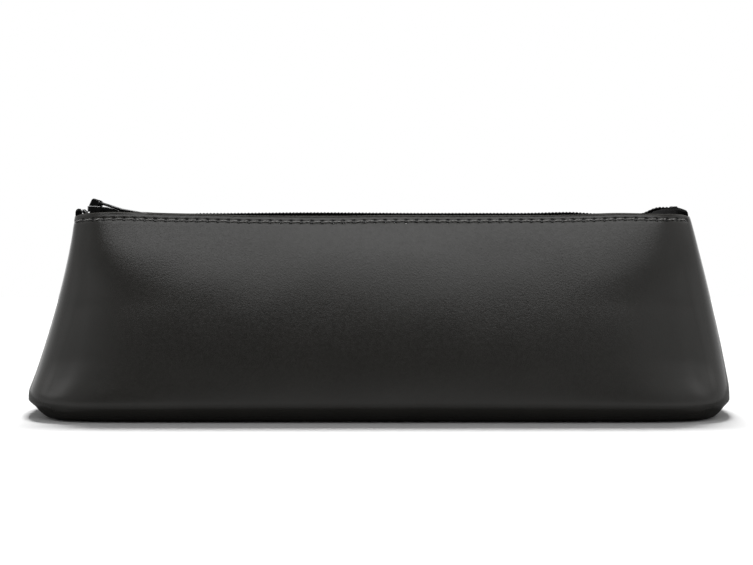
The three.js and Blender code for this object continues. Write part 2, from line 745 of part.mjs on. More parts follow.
// Pull: a cranked tab with an eye, its end bar running through the cap
function pullTab() {
  const half = PULL_WIDTH / 2;
  const back = -PULL_BAR / 2;
  const waist = half * 0.88;
  const stem = new THREE.Shape();
  stem.moveTo(back, -half + 0.6);
  stem.lineTo(back, half - 0.6);
  stem.quadraticCurveTo(back, half, back + 0.6, half);
  stem.lineTo(PULL_EYE + 1.2, half);
  stem.lineTo(PULL_CRANK, waist);
  stem.lineTo(PULL_CRANK, -waist);
  stem.lineTo(PULL_EYE + 1.2, -half);
  stem.lineTo(back + 0.6, -half);
  stem.quadraticCurveTo(back, -half, back, -half + 0.6);
  const eye = new THREE.Path();
  const inner = CAP_WIDTH / 2 + FIT;
  eye.moveTo(PULL_BAR / 2, -inner);
  eye.lineTo(PULL_EYE - 0.6, -inner);
  eye.quadraticCurveTo(PULL_EYE, -inner, PULL_EYE, -inner + 0.6);
  eye.lineTo(PULL_EYE, inner - 0.6);
  eye.quadraticCurveTo(PULL_EYE, inner, PULL_EYE - 0.6, inner);
  eye.lineTo(PULL_BAR / 2, inner);
  eye.closePath();
  stem.holes.push(eye);
  const tab = new THREE.Shape();
  tab.moveTo(-0.5, -waist);
  tab.lineTo(PULL_REACH - waist, -waist);
  tab.absarc(PULL_REACH - waist, 0, waist, -Math.PI / 2, Math.PI / 2, false);
  tab.lineTo(-0.5, waist);
  tab.closePath();
  const under = PULL_THICK / 2 - TAB_THICK;
  const thinning = crossPrism(
    [
      [0, under],
      [PULL_REACH, under + TAB_THICK - TAB_TIP],
      [PULL_REACH, under - TAB_THICK],
      [0, under - TAB_THICK],
    ],
    2 * PULL_WIDTH,
  );
  const bent = bodyOf(solidOf(softPlate(tab, TAB_THICK)).subtract(solidOf(thinning)));
  bent.rotateY(PULL_LIE - PULL_REST);
  bent.translate(PULL_CRANK, 0, 0);
  const pull = bodyOf(solidOf(softPlate(stem, PULL_THICK)).add(solidOf(bent)));
  pull.rotateY(PULL_REST);
  pull.translate(PULL_AXIS_X, 0, PULL_AXIS_Z);
  return pull;
}

// Top stop: a clip closed round the inner edge of its tape
function topStop(face) {
  const end = COIL_LEFT - FIT;
  const loops = [end - STOP_LENGTH, end].map((x) => {
    const z = chainTop(x);
    const inner = TAPE_INNER + parting(x) - FIT;
    const slotTop = z - TAPE_TOP + 0.4;
    const slotLow = z - TAPE_LOW - 0.4;
    const profile = [
      [inner - 0.5, z + 0.1],
      [inner + 1.5, z + 0.1],
      [inner + 1.7, z - 0.2],
      [inner + 1.7, slotTop],
      [inner, slotTop],
      [inner, slotLow],
      [inner + 1.1, slotLow],
      [inner + 1.1, slotLow - 0.5],
      [inner - 0.5, slotLow - 0.5],
    ];
    return profile.map(([y, h]) => new THREE.Vector3(x, face * y, h));
  });
  return ringSkin(loops);
}

// Bottom stop: plates above and below both tapes, joined between them
function bottomStop() {
  const middle = BOTTOM_STOP_X + BOTTOM_STOP_LENGTH / 2;
  const z = chainTop(middle);
  const wide = COIL_OUTER + 0.1;
  const web = TAPE_INNER - 0.2;
  const slotTop = z - TAPE_TOP + 0.25;
  const slotLow = z - TAPE_LOW - 0.25;
  const half = [
    [wide - 0.5, z + 0.15],
    [wide, z - 0.35],
    [wide, slotTop],
    [web, slotTop],
    [web, slotLow],
    [wide, slotLow],
    [wide, slotLow - 0.6],
  ];
  const profile = [...half, ...half.map(([y, h]) => [-y, h]).reverse()];
  const x1 = BOTTOM_STOP_X + BOTTOM_STOP_LENGTH - 1.2;
  const loops = [BOTTOM_STOP_X, x1].map((x) => profile.map(([y, h]) => new THREE.Vector3(x, y, h)));
  return ringSkin(loops);
}

// Prism between two equal loops of any outline across the zip
function ringSkin(loops) {
  const turned = THREE.ShapeUtils.isClockWise(loops[0].map((p) => new THREE.Vector2(p.y, p.z)));
  const [a, b] = turned ? loops.map((loop) => [...loop].reverse()) : loops;
  const count = a.length;
  const triangles = [];
  for (let j = 0; j < count; j++) {
    const k = (j + 1) % count;
    quad(triangles, j, k, count + k, count + j);
  }
  const flat = a.map((p) => new THREE.Vector2(p.y, p.z));
  for (const [i, j, k] of THREE.ShapeUtils.triangulateShape(flat, [])) {
    triangles.push([i, k, j], [count + i, count + j, count + k]);
  }
  return closedBody([...a, ...b], triangles);
}

// Sewn line: the thread lies proud along each stitch and sinks toward the leather at each needle hole
function sewnLine(place, from, to) {
  const count = Math.max(2, Math.round((to - from) / STITCH_PITCH));
  const pitch = (to - from) / count;
  const path = [];
  for (let i = 0; i < count; i++) {
    const start = from + i * pitch;
    path.push(place(start, 0));
    path.push(place(start + pitch * 0.5, THREAD * 0.45));
  }
  path.push(place(to, 0));
  return strand(path, THREAD / 2, 3);
}

function topStitch(face) {
  return sewnLine(
    (x, proud) => {
      const side = x < 0 ? LEFT : RIGHT;
      const mouth = side === LEFT ? MOUTH_LEFT : MOUTH_RIGHT;
      const z = edgeHeight(side, Math.abs(x) / mouth) - STITCH_INSET;
      const h = fall(z);
      const o = outline(side, Math.abs(x) / halfLength(side, h), h, 0);
      const off = THREAD / 2 + THREAD_GAP + proud;
      return new THREE.Vector3(x + o.nx * off, face * (o.y + o.ny * off), z + off * 0.45);
    },
    -MOUTH_LEFT + STITCH_END_MARGIN,
    MOUTH_RIGHT - STITCH_END_MARGIN,
  );
}

// Hidden seams: the thread runs along the turned-in allowance, on the front panel's side
function endThread(side) {
  return sewnLine(
    (z, proud) => {
      const reach = LEATHER + (SEAM_ALLOWANCE - LEATHER) * 0.45;
      const y = SEAM_GAP / 2 + LEATHER + THREAD / 2 + THREAD_GAP + proud;
      return new THREE.Vector3(side * (halfLength(side, fall(z)) - reach), -y, z);
    },
    BASE_ROLL + END_THREAD_FOOT,
    EDGE_HEIGHT - END_THREAD_HEAD,
  );
}

function baseThread() {
  const reach = BASE_LENGTH / 2 - BASE_ROLL - BASE_THREAD_MARGIN;
  return sewnLine(
    (x, proud) => {
      const y = SEAM_GAP / 2 + LEATHER + THREAD / 2 + THREAD_GAP + proud;
      return new THREE.Vector3(x, -y, LEATHER + (SEAM_ALLOWANCE - LEATHER) * 0.5);
    },
    -reach,
    reach,
  );
}

function cornerThread(side) {
  const reach = DEPTH / 2 - 2 * BASE_ROLL;
  return sewnLine(
    (y, proud) => {
      const over = ALLOWANCE_LEAST + THREAD / 2 + FIT + proud;
      const p = cornerPoint(side, Math.abs(y), over);
      return new THREE.Vector3(p.x, y, p.z);
    },
    -reach,
    reach,
  );
}

// Point inside the boxed corner, half way round the bottom roll
function cornerPoint(side, y, inset) {
  let low = 0.5;
  let high = 1;
  for (let i = 0; i < 40; i++) {
    const mid = (low + high) / 2;
    if (rollPoint(side, mid, Math.PI / 4, inset).y > y) low = mid;
    else high = mid;
  }
  return rollPoint(side, low, Math.PI / 4, inset);
}

const LEATHER_LOOK = { color: 0x3b3a38, roughness: 0.55, metalness: 0 };
const TAPE_LOOK = { color: 0x161616, roughness: 0.9, metalness: 0 };
const COIL_LOOK = { color: 0x141414, roughness: 0.45, metalness: 0 };
const METAL_LOOK = { color: 0x161616, roughness: 0.4, metalness: 0.5 };
const THREAD_LOOK = { color: 0x6a6865, roughness: 0.8, metalness: 0 };

const part = new THREE.Group();
part.name = 'triangle_pencil_case';

function addNode(name, geometry, look) {
  const mesh = new THREE.Mesh(geometry, new THREE.MeshStandardMaterial(look));
  mesh.name = name;
  part.add(mesh);
}

for (const [word, face] of [['front', FRONT], ['back', BACK]]) {
  addNode(`${word}_panel`, panel(face), LEATHER_LOOK);
  addNode(`zip_tape_${word}`, zipTape(face), TAPE_LOOK);
  addNode(`zip_coil_${word}`, zipCoil(face), COIL_LOOK);
  addNode(`coil_cord_${word}`, coilCord(face), TAPE_LOOK);
  addNode(`top_stop_${word}`, topStop(face), METAL_LOOK);
  addNode(`top_stitch_${word}`, topStitch(face), THREAD_LOOK);
}
for (const [word, side] of [['left', LEFT], ['right', RIGHT]]) {
  addNode(`end_seam_thread_${word}`, endThread(side), THREAD_LOOK);
  addNode(`corner_seam_thread_${word}`, cornerThread(side), THREAD_LOOK);
}
addNode('base_seam_thread', baseThread(), THREAD_LOOK);
addNode('bottom_stop', bottomStop(), METAL_LOOK);
addNode('slider_body', sliderBody(), METAL_LOOK);
addNode('slider_cap', sliderCap(), METAL_LOOK);
addNode('lock_pawl', lockPawl(), METAL_LOOK);
addNode('pull_tab', pullTab(), METAL_LOOK);

export default part;
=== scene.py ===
"""Looks of the triangle pencil case: leather pouch, coil zip, slider and sewing, in a white studio."""

import bmesh
import bpy
import numpy as np
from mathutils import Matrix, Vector, noise


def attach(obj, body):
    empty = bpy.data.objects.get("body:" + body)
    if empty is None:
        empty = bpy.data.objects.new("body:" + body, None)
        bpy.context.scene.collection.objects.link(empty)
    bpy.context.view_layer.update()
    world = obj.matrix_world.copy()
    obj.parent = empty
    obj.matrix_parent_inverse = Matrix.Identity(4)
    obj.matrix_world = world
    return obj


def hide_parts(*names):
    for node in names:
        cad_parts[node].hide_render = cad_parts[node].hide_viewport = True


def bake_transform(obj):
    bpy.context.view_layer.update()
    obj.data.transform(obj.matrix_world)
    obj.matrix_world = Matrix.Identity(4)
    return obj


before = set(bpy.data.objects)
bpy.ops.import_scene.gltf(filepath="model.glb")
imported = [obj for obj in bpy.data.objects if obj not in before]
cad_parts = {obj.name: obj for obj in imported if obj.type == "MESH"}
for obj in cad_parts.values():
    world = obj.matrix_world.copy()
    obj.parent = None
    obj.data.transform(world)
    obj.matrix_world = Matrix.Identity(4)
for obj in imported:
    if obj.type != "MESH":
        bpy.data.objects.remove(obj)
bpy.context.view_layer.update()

MM = 0.001
FRONT, BACK = -1, 1
LEFT, RIGHT = -1, 1
TINY = 1e-6

# Pouch in millimetres; its bottom roll, corner cuts and edge line differ a little from the solids
BASE_HALF = 119.5
MOUTH_LEFT, MOUTH_RIGHT = 104.0, 106.0
MOUTH_HALF, DEPTH_HALF = 8.0, 33.0
EDGE_HEIGHT = 68.0
LEATHER, EDGE_ROUND = 1.3, 0.28
ROLL, END_ROLL = 6.0, 5.0
CORNER_LEFT, CORNER_RIGHT = 6.0, 4.8
CORNER_RISE, CORNER_BEND = 5.4, 1.15
SEAM_HALF, SEAM_TURN = 0.15, 1.5
ALLOWANCE, ALLOWANCE_LEAST = 5.0, 1.7
# Distances from the mouth and from the corners over which the allowance widens
MOUTH_TRIM, CORNER_TRIM = (6, 21), (8, 23)
SAME_PLACE = 0.05

# How the outline widens downward: share of the height where it is full, and its bend
LEFT_FULL, LEFT_BEND = 0.875, 1.35
RIGHT_FULL, RIGHT_BEND = 0.86, 1.3
DEPTH_FULL, DEPTH_BEND = 0.93, 1.3

# How square the outline is at the mouth and in the middle, and what the foot adds
SQUARE_MOUTH, SQUARE_MIDDLE, SQUARE_FOOT = 24.0, 9.0, 4.0
SQUARE_FADE, FOOT_RUN = (0, 0.45), (0.68, 0.9)
ROUND_MOUTH, ROUND_FOOT = 2.0, 2.2

# Mouth edge: drop at the ends, bumps (rise, place, width), waves (rise, length, start) and a dip
EDGE_DROP, EDGE_DROP_RUN = 0.9, 6.0
EDGE_BUMPS = ((0.35, 82, 9), (0.42, -91, 14))
EDGE_WAVES = ((0.12, 17.0, 0), (0.08, 7.3, 1))
EDGE_DIP, DIP_LEFT, DIP_RIGHT = 0.45, (-62, -42), (50, 73)
EDGE_HOLD = 20

# Columns of a panel: along the face, round to the end seam, then turned in at the seam
FACE_COLUMNS, END_COLUMNS, TURN_COLUMNS = 132, 18, 5
LAST_COLUMN = FACE_COLUMNS + END_COLUMNS
FACE_SHARE = 0.93
OUTLINE_SPREAD, EDGE_SPREAD = 0.85, 0.5
# Rows of a panel: edge band, wall, bottom roll, half base, turn into the base seam
BAND_ROWS, WALL_ROWS, ROLL_ROWS, BASE_ROWS, TURN_ROWS = 15, 54, 18, 10, 5
BAND = 6.0
# Depths below the edge that the rows under the roll count as
BASE_DEPTH, BASE_REACH, TURN_DEPTH, ALLOWANCE_DEPTH = 75.0, 20.0, 96.0, 90.0

# Relief: sewing channel, pressed edge, soft dents (height, size, step of the seed)
CHANNEL, NEEDLE_HOLE, CHANNEL_WIDE, CHANNEL_FADE = 0.05, 0.12, 0.6, 2
EDGE_PRESS = 0.1
DENTS = ((0.25, 46.0, 0), (0.05, 17.0, 4))
DENTS_FROM, DENTS_TO = (1.5, 14), (58, 72)
NOISE_STEPS = (7.3, 3.1, 5.7)
# The faces stand back toward their ends, but less near the mouth and the base
BARREL, BARREL_DEPTH, BARREL_FOOT, BARREL_END = 2.55, 30, 16, 0.8
END_FACING = (0.35, 0.8)
END_CREASE, END_CREASE_HEIGHT, END_CREASE_WIDE = 0.2, 3.3, 1.0
END_CREASE_FADE = (70, 74)
# Corner folds: end, depth, start and finish as (distance from the middle, height), width
FOLDS = (
    (LEFT, 0.45, (117.0, 4.0), (99.0, 20.0), 3.4),
    (LEFT, 0.2, (111.0, 1.5), (92.0, 12.0), 3.0),
    (RIGHT, 0.4, (116.5, 3.5), (101.0, 18.0), 3.0),
    (RIGHT, 0.2, (112.0, 1.5), (99.0, 10.0), 3.0),
)
CREASE_IN, CREASE_OUT = (-0.12, 0.05), (0.25, 1.0)

# Cut edge of the leather: rings as shares of its thickness and of its rounding
EDGE_RINGS = ((0.06, 0.6), (0.22, 1.0), (0.78, 1.0), (0.94, 0.6))
ROUNDED_STRIPS = 2
GRAIN, SUEDE, CUT, ROUNDED = range(4)

# Zip in millimetres
ZIP_LEFT, ZIP_RIGHT = -101.1, 103.1
COIL_LEFT, COIL_RIGHT = -99.6, 99.5
COIL_PITCH, COIL_HEIGHT = 1.18, 1.3
COIL_OUTER, COIL_OVERLAP = 2.05, 0.25
COIL_MIDDLE = (COIL_OUTER - COIL_OVERLAP) / 2
BACK_COIL_LOW = 0.2
FILAMENT, TURN_POINTS = 0.3, 14
CORD, CORD_OUT, CORD_END, CORD_STEP = 0.3, 0.15, 0.2, 1.2
COIL_THREAD, COIL_THREAD_PLACES = 0.1, (0.95, 1.65)
COIL_THREAD_LOW, COIL_THREAD_WAVE, COIL_THREAD_END, COIL_THREAD_STEP = 0.3, 0.12, 0.4, 0.3
NOSE, SLIDER_LENGTH = -99.3, 10.2
TRAVEL, MOST_OPEN = 180.0, 9.0
# The coils stand apart at the nose and meet just before the tail of the slider
PARTED, PART_FROM, PART_TO = 1.15, 1.2, 0.6
ARCH_X, ARCH_RISE = 88.9, 7.0
ARCH_UP, SETTLE = 2.2, 3.3
CHAIN_KNOTS = (
    (ZIP_LEFT, 1.3),
    (COIL_LEFT, 0.25),
    (NOSE + SLIDER_LENGTH + 1, 0.25),
    (-80.7, -0.95),
    (-72.4, -0.95),
    (-60.4, 0.15),
    (-22.0, 0.4),
    (16.0, 0.2),
    (48.0, 0.2),
    (65.0, 0.5),
    (75.5, 0.0),
    (ARCH_X, 0.0),
    (ARCH_X + ARCH_RISE, ARCH_UP),
    (ZIP_RIGHT - 1.5, ARCH_UP),
    (ZIP_RIGHT, 1.5),
)

# How the zip halves and the leather open: lens along the mouth, more toward the edge
LENS_POWER, UP_POWER = 1.2, 1.6
OPEN_EASE, BEND_LOW = 14, 14
# Arched end: how far below the wall's top the tape is held, the run where it loosens, the fold's held share
TAPE_HELD, TAPE_LOOSENS, FOLD_HELD = 1.0, 1.6, 0.7

# Tape in millimetres: its section runs from the coil over a slope to the wall and down it
TAPE_TOP, TAPE_THICK, TAPE_DROP = 1.44, 0.45, 8.0
TAPE_HANG = EDGE_HEIGHT - EDGE_DROP - TAPE_TOP
TAPE_INNER, TAPE_FLAT, TAPE_CURL_AT = 0.35, 0.2, 0.55
TAPE_SLOPE_OUT, TAPE_SLOPE_DOWN, TAPE_SAG = 0.7, 0.55, 0.1
TAPE_CLEAR, TAPE_CLOSEST, TAPE_BEND_CLEAR, TAPE_BEND = 0.4, 0.8, 0.15, 1.2
TAPE_STEP, TAPE_POINTS, TAPE_END_MARGIN = 1.1, 30, 1.004
# The tape curls up beside the arch of the chain and beside the bottom stop
CURL_ARCH, CURL_STOP, CURL_STOP_RUN = 0.75, 0.6, (95, 98.5)
# Inner wall: most share of its half length, and leather thicknesses that it stands in along and across
INNER_REACH, INNER_ALONG, INNER_ACROSS = 0.9999, 1.05, 1.13

# Folded ends of the tapes: place along the mouth, half width, bottom and top
LEFT_FOLD = (
    (-103.75, 0.7, 67.1, 68.6),
    (-103.5, 1.2, 67.0, 69.2),
    (-102.9, 1.5, 67.0, 69.6),
    (-102.1, 1.6, 66.9, 69.5),
    (-101.7, 1.5, 66.9, 69.0),
)
RIGHT_FOLD = (
    (101.0, 3.5, 66.3, 70.1),
    (102.4, 3.3, 66.4, 69.95),
    (103.4, 3.0, 66.7, 69.65),
    (104.4, 2.6, 66.9, 69.3),
    (105.1, 2.2, 66.9, 69.0),
    (105.5, 1.8, 67.0, 68.5),
    (105.7, 1.2, 67.0, 67.8),
)
FOLD_INNER, FOLD_ROUND, FOLD_POINTS = 0.06, 0.7, 9

# Mouth stitches in millimetres: a two-ply thread that dives into a needle hole at both ends
STITCH_PITCH = 3.524
STITCH_INSET, STITCH_TILT = 1.8, -0.0017
STITCH_FROM, STITCH_TO = -103.65, 104.25
STITCH_START, STITCH_SHARE, STITCH_POINTS = 0.07, 0.86, 13
STITCH_DIVE, STITCH_ARCH, STITCH_ROUND = -0.6, 0.95, 0.35
STITCH_SLANT = 0.2
PLY, PLY_APART, PLY_TURNS = 0.15, 0.85, 1.25

# Edges of the metal pieces: angles in degrees
SHARP, FLAT, SHADED_SHARP = 25, 2, 40
BEVEL_STEPS = 3
# Points closer than this in metres are one, in a new mesh and in a copy of a solid
SAME_POINT, SAME_SOLID_POINT = 1e-7, 2e-6

# Weave of the tape, in radians per millimetre: warp, weft and the slant of the weft
WARP, WEFT, WEFT_SLANT = 13.0, 11.0, 6.5

# Floor in metres with its shades; camera place in metres, tilt in degrees, lens in millimetres
FLOOR_SIDE, FLOOR_NEAR, FLOOR_FAR, FLOOR_LOW = 0.9, -0.5, 0.6, -0.0002
FLOOR_SEEN, FLOOR_BOUNCED = 0.97, 0.15
CAMERA_PLACE, CAMERA_DOWN = (-0.0008, -0.600, 0.078), 3.22
CAMERA_LENS, CAMERA_SENSOR = 83.76, 36.0


def lerp(a, b, f):
    return a + (b - a) * f


def smooth(a, b, x):
    f = np.clip((np.asarray(x, float) - a) / (b - a), 0, 1)
    return f * f * (3 - 2 * f)


def bell(x, middle, width):
    return np.exp(-(((x - middle) / width) ** 2))


def unit(v):
    return v / np.linalg.norm(v, axis=-1, keepdims=True)


def chain_top(x):
    """Height of the top of the zip chain."""
    x = np.asarray(x, float)
    z = np.full(x.shape, CHAIN_KNOTS[0][1])
    for (x0, z0), (x1, z1) in zip(CHAIN_KNOTS, CHAIN_KNOTS[1:]):
        z = np.where(x >= x0, lerp(z0, z1, smooth(x0, x1, x)), z)
    return EDGE_HEIGHT + z


def parting(x, nose=NOSE):
    """How far each coil stands off the middle inside a slider whose nose is there."""
    return PARTED * (1 - smooth(nose + PART_FROM, nose + SLIDER_LENGTH - PART_TO, x))


def opened(x, z):
    """Share of the zip halves' parting that a point follows: sewn ends stay, the middle opens most."""
    nose = NOSE + TRAVEL
    reach = nose + PART_FROM
    middle, half = (ZIP_LEFT + reach) / 2, (reach - ZIP_LEFT) / 2
    lens = np.maximum(0, 1 - ((x - middle) / half) ** 2) ** LENS_POWER
    least = parting(x, nose) / MOST_OPEN * smooth(ZIP_LEFT, ZIP_LEFT + OPEN_EASE, x)
    up = np.clip((z - BEND_LOW) / (EDGE_HEIGHT - BEND_LOW), 0, 1) ** UP_POWER
    return (least + (1 - PARTED / MOST_OPEN) * lens) * up


# Outline of the pouch


def fall(z):
    """Share of the height between the mouth edge and a point."""
    return np.maximum(0, 1 - np.asarray(z, float) / EDGE_HEIGHT)


def swell(h, full, bend):
    return 1 - (1 - np.minimum(1, h / full)) ** bend


def half_length(side, h):
    left = lerp(MOUTH_LEFT, BASE_HALF, np.minimum(1, h / LEFT_FULL) ** LEFT_BEND)
    right = lerp(MOUTH_RIGHT, BASE_HALF, swell(h, RIGHT_FULL, RIGHT_BEND))
    return np.where(side < 0, left, right)


def half_depth(h):
    return lerp(MOUTH_HALF, DEPTH_HALF, swell(h, DEPTH_FULL, DEPTH_BEND))


def powers(h):
    """Powers of the outline along and across; a high one makes a square corner."""
    square = lerp(SQUARE_MOUTH, SQUARE_MIDDLE, smooth(*SQUARE_FADE, h))
    return square + SQUARE_FOOT * smooth(*FOOT_RUN, h), lerp(ROUND_MOUTH, ROUND_FOOT, h)


def edge_height(side, t):
    """Height of the mouth edge at shares of its half length."""
    mouth = MOUTH_LEFT if side < 0 else MOUTH_RIGHT
    drop = EDGE_DROP * smooth(mouth - EDGE_DROP_RUN, mouth, mouth * t)
    x = side * mouth * t
    lift = sum(rise * bell(x, place, width) for rise, place, width in EDGE_BUMPS)
    lift += sum(rise * np.sin(x / length + start) for rise, length, start in EDGE_WAVES)
    lift -= EDGE_DIP * (smooth(*DIP_LEFT, x) - smooth(*DIP_RIGHT, x))
    return EDGE_HEIGHT - EDGE_ROUND - drop + lift * (1 - t**EDGE_HOLD)


def inside_wall(x, z):
    """Distance of the inner wall from the middle, at a place along the mouth and a height."""
    h = fall(z)
    p, q = powers(h)
    t = np.minimum(INNER_REACH, np.abs(x) / (half_length(x, h) - LEATHER * INNER_ALONG))
    return (half_depth(h) - LEATHER * INNER_ACROSS) * (1 - t**p) ** (1 / q)


# Rows and columns of a leather panel


def face_shares(k):
    """Share of the half length at the columns along the face."""
    return np.minimum(FACE_SHARE * k / FACE_COLUMNS, FACE_SHARE)


def end_shares(k):
    """How far columns have come round the end, from the face to the end seam."""
    return np.clip((k - FACE_COLUMNS) / END_COLUMNS, 0, 1)


def quarter_turn(steps):
    return np.arange(1, steps + 1) / steps * np.pi / 2


def turned_in(y, a):
    """Distance from the middle of leather that turns in at its seam by an angle."""
    return SEAM_HALF + (y - SEAM_HALF) * (1 - np.sin(a))


def column_shares():
    """Share of the mouth's half length at each column of a half row."""
    k = np.arange(LAST_COLUMN + TURN_COLUMNS + 1)
    round_end = FACE_SHARE + (1 - FACE_SHARE) * end_shares(k) ** EDGE_SPREAD
    return np.where(k > FACE_COLUMNS, round_end, face_shares(k))


def half_columns(side, z, inset=0.0, cut=0.0):
    """One half row of the outline, from the middle to the end seam; z is the height at each column."""
    k = np.arange(LAST_COLUMN + 1)
    h = fall(z[: LAST_COLUMN + 1])
    length, depth = half_length(side, h), half_depth(h)
    p, q = powers(h)
    t = face_shares(k)
    yn = (1 - t**p) ** (1 / q)
    seam = (SEAM_HALF + SEAM_TURN) / depth
    yn = np.where(k > FACE_COLUMNS, lerp(yn, seam, end_shares(k) ** OUTLINE_SPREAD), yn)
    t = np.where(k > FACE_COLUMNS, (1 - yn**q) ** (1 / p), t)
    nx, ny = p * t ** (p - 1) / length, q * yn ** (q - 1) / depth
    n = np.hypot(nx, ny)
    nx, ny = side * nx / n, ny / n
    pull = lerp(inset, cut, nx**2)
    x, y = side * length * t - nx * pull, depth * yn - ny * pull
    a = quarter_turn(TURN_COLUMNS)
    turn_x = x[-1] - side * SEAM_TURN * (1 - np.cos(a))
    return np.append(x, turn_x), np.append(y, turned_in(y[-1], a))


def wall_lean(z):
    """Angle of the faces from upright at a height."""
    step = 0.1
    return np.arctan((half_depth(fall(z - step)) - half_depth(fall(z + step))) / (2 * step))


def roll_top():
    """Height at which the bottom roll leaves the face without a crease."""
    z = ROLL
    for _ in range(12):
        z = ROLL * (1 + np.sin(wall_lean(z)))
    return float(z)


ROLL_TOP = roll_top()


def upper_rows(side):
    """Rows of the edge band and of the wall, each with its depth below the edge."""
    top = edge_height(side, column_shares())
    heights = [(top - BAND * i / BAND_ROWS, BAND * i / BAND_ROWS) for i in range(BAND_ROWS)]
    for i in range(WALL_ROWS + 1):
        f = i / WALL_ROWS
        heights.append((lerp(top - BAND, ROLL_TOP, f), lerp(BAND, EDGE_HEIGHT - ROLL_TOP, f)))
    return [(np.stack([*half_columns(side, z), z], 1), depth) for z, depth in heights]


def roll_rows(side, columns):
    """Rows of the bottom roll, cut back at the boxed corner, each with its depth."""
    low, lean = np.full(columns, ROLL_TOP), float(wall_lean(ROLL_TOP))
    corner = CORNER_LEFT if side < 0 else CORNER_RIGHT
    rows = []
    for i in range(1, ROLL_ROWS + 1):
        a = lerp(-lean, np.pi / 2, i / ROLL_ROWS)
        z = ROLL * (1 - np.sin(a))
        rolled = END_ROLL * (1 - np.cos(max(a, 0)))
        boxed = corner * max(0, 1 - z / CORNER_RISE) ** CORNER_BEND
        x, y = half_columns(side, low, ROLL * (np.cos(lean) - np.cos(a)), max(rolled, boxed))
        rows.append((np.stack([x, y, np.full(columns, z)], 1), EDGE_HEIGHT - ROLL_TOP + (a + lean) * ROLL))
    return rows


def base_rows(rim):
    """Rows of the half base inside the rim, then turned up into the base seam, each with its depth."""
    k = np.arange(len(rim))
    foot = np.zeros_like(rim)
    along = lerp(rim[FACE_COLUMNS, 0], rim[LAST_COLUMN, 0], end_shares(k))
    foot[:, 0] = np.where(k > FACE_COLUMNS, along, rim[:, 0])
    foot[:, 1] = min(SEAM_HALF + SEAM_TURN, rim[LAST_COLUMN, 1])
    foot[LAST_COLUMN + 1 :, :2] = rim[LAST_COLUMN + 1 :, :2]
    rows = []
    for i in range(1, BASE_ROWS + 1):
        f = i / BASE_ROWS
        rows.append((lerp(rim, foot, f) * (1, 1, 0), BASE_DEPTH + BASE_REACH * f))
    for a in quarter_turn(TURN_ROWS):
        y = np.minimum(turned_in(foot[:, 1], a), foot[:, 1])
        rise = np.full(len(rim), SEAM_TURN * (1 - np.cos(a)))
        rows.append((np.stack([foot[:, 0], y, rise], 1), TURN_DEPTH))
    return rows


def half_grid(side):
    """Outer points of half a panel, rows by columns with y positive, and their depths below the edge."""
    rows = upper_rows(side)
    columns = len(rows[0][0])
    rows += roll_rows(side, columns)
    rows += base_rows(rows[-1][0])
    depths = [np.full(columns, depth) for _, depth in rows]
    return np.array([points for points, _ in rows]), np.array(depths)


def grid_normals(grid):
    """Outward normals of a panel's grid, straight out to the front along its seams."""
    n = np.cross(np.gradient(grid, axis=1), np.gradient(grid, axis=0))
    length = np.linalg.norm(n, axis=2, keepdims=True)
    flat = np.zeros_like(n)
    flat[..., 2] = -1
    n = np.where(length > TINY, n / np.maximum(length, TINY), flat)
    n[:, 0] = n[:, -1] = n[-1] = (0, -1, 0)
    return n


# Relief of the worked leather


def soft_noise(points, size, seed):
    offset = Vector([seed * step for step in NOISE_STEPS])
    return np.array([noise.noise(Vector(p) / size + offset) for p in points])


def stitch_depth(x):
    """Depth of the line of stitches below the edge."""
    return STITCH_INSET + STITCH_TILT * x


def sewing_channel(x, depths):
    """Groove under the stitches, deeper at the needle holes, and the edge pressed in above it."""
    sewn = smooth(STITCH_FROM - CHANNEL_FADE, STITCH_FROM, x)
    sewn = sewn * (1 - smooth(STITCH_TO, STITCH_TO + CHANNEL_FADE, x))
    hole = 0.5 + 0.5 * np.cos(2 * np.pi * (x - STITCH_FROM) / STITCH_PITCH)
    groove = (CHANNEL + NEEDLE_HOLE * hole) * bell(depths, stitch_depth(x), CHANNEL_WIDE) * sewn
    return -groove - EDGE_PRESS * bell(depths, 0, CHANNEL_WIDE)


def dents(grid, depths, face):
    """Soft unevenness of the leather, calm near the mouth and the base."""
    flat = grid.reshape(-1, 3) * (1, face, 1)
    seed = 1 if face == FRONT else 2
    calm = smooth(*DENTS_FROM, depths) * (1 - smooth(*DENTS_TO, depths))
    height = sum(rise * soft_noise(flat, size, seed + step) for rise, size, step in DENTS)
    return calm * height.reshape(depths.shape)


def stand_back(x, z, depths, end):
    """How far the face stands back toward its ends; end is 1 on the end walls."""
    share = np.abs(x) / half_length(x, fall(z))
    lower = (1 - np.exp(-depths / BARREL_DEPTH)) * smooth(0, BARREL_FOOT, z)
    return BARREL * share**2 * lower * (1 - BARREL_END * end)


def crease(x, z, start, finish, width):
    """A fold line in the face, deepest at its start and gone at its finish."""
    dx, dz = finish[0] - start[0], finish[1] - start[1]
    span = dx * dx + dz * dz
    along = ((x - start[0]) * dx + (z - start[1]) * dz) / span
    across = np.abs((x - start[0]) * dz - (z - start[1]) * dx) / np.sqrt(span)
    return bell(across, 0, width) * smooth(*CREASE_IN, along) * (1 - smooth(*CREASE_OUT, along))


def corner_folds(x, z):
    depth_here = np.zeros_like(x)
    for side, depth, start, finish, width in FOLDS:
        here = (x < 0) == (side < 0)
        depth_here += depth * here * crease(np.abs(x), z, start, finish, width)
    return depth_here


def relief(grid, normals, depths, face):
    """Height of the worked leather above its plain form."""
    x, z = grid[..., 0], grid[..., 2]
    end = smooth(*END_FACING, np.abs(normals[..., 0]))
    pressed = bell(z, END_CREASE_HEIGHT, END_CREASE_WIDE) * (1 - smooth(*END_CREASE_FADE, depths))
    height = sewing_channel(x, depths) - stand_back(x, z, depths, end) + dents(grid, depths, face)
    return height - corner_folds(x, z) * (1 - end) - END_CREASE * end * pressed


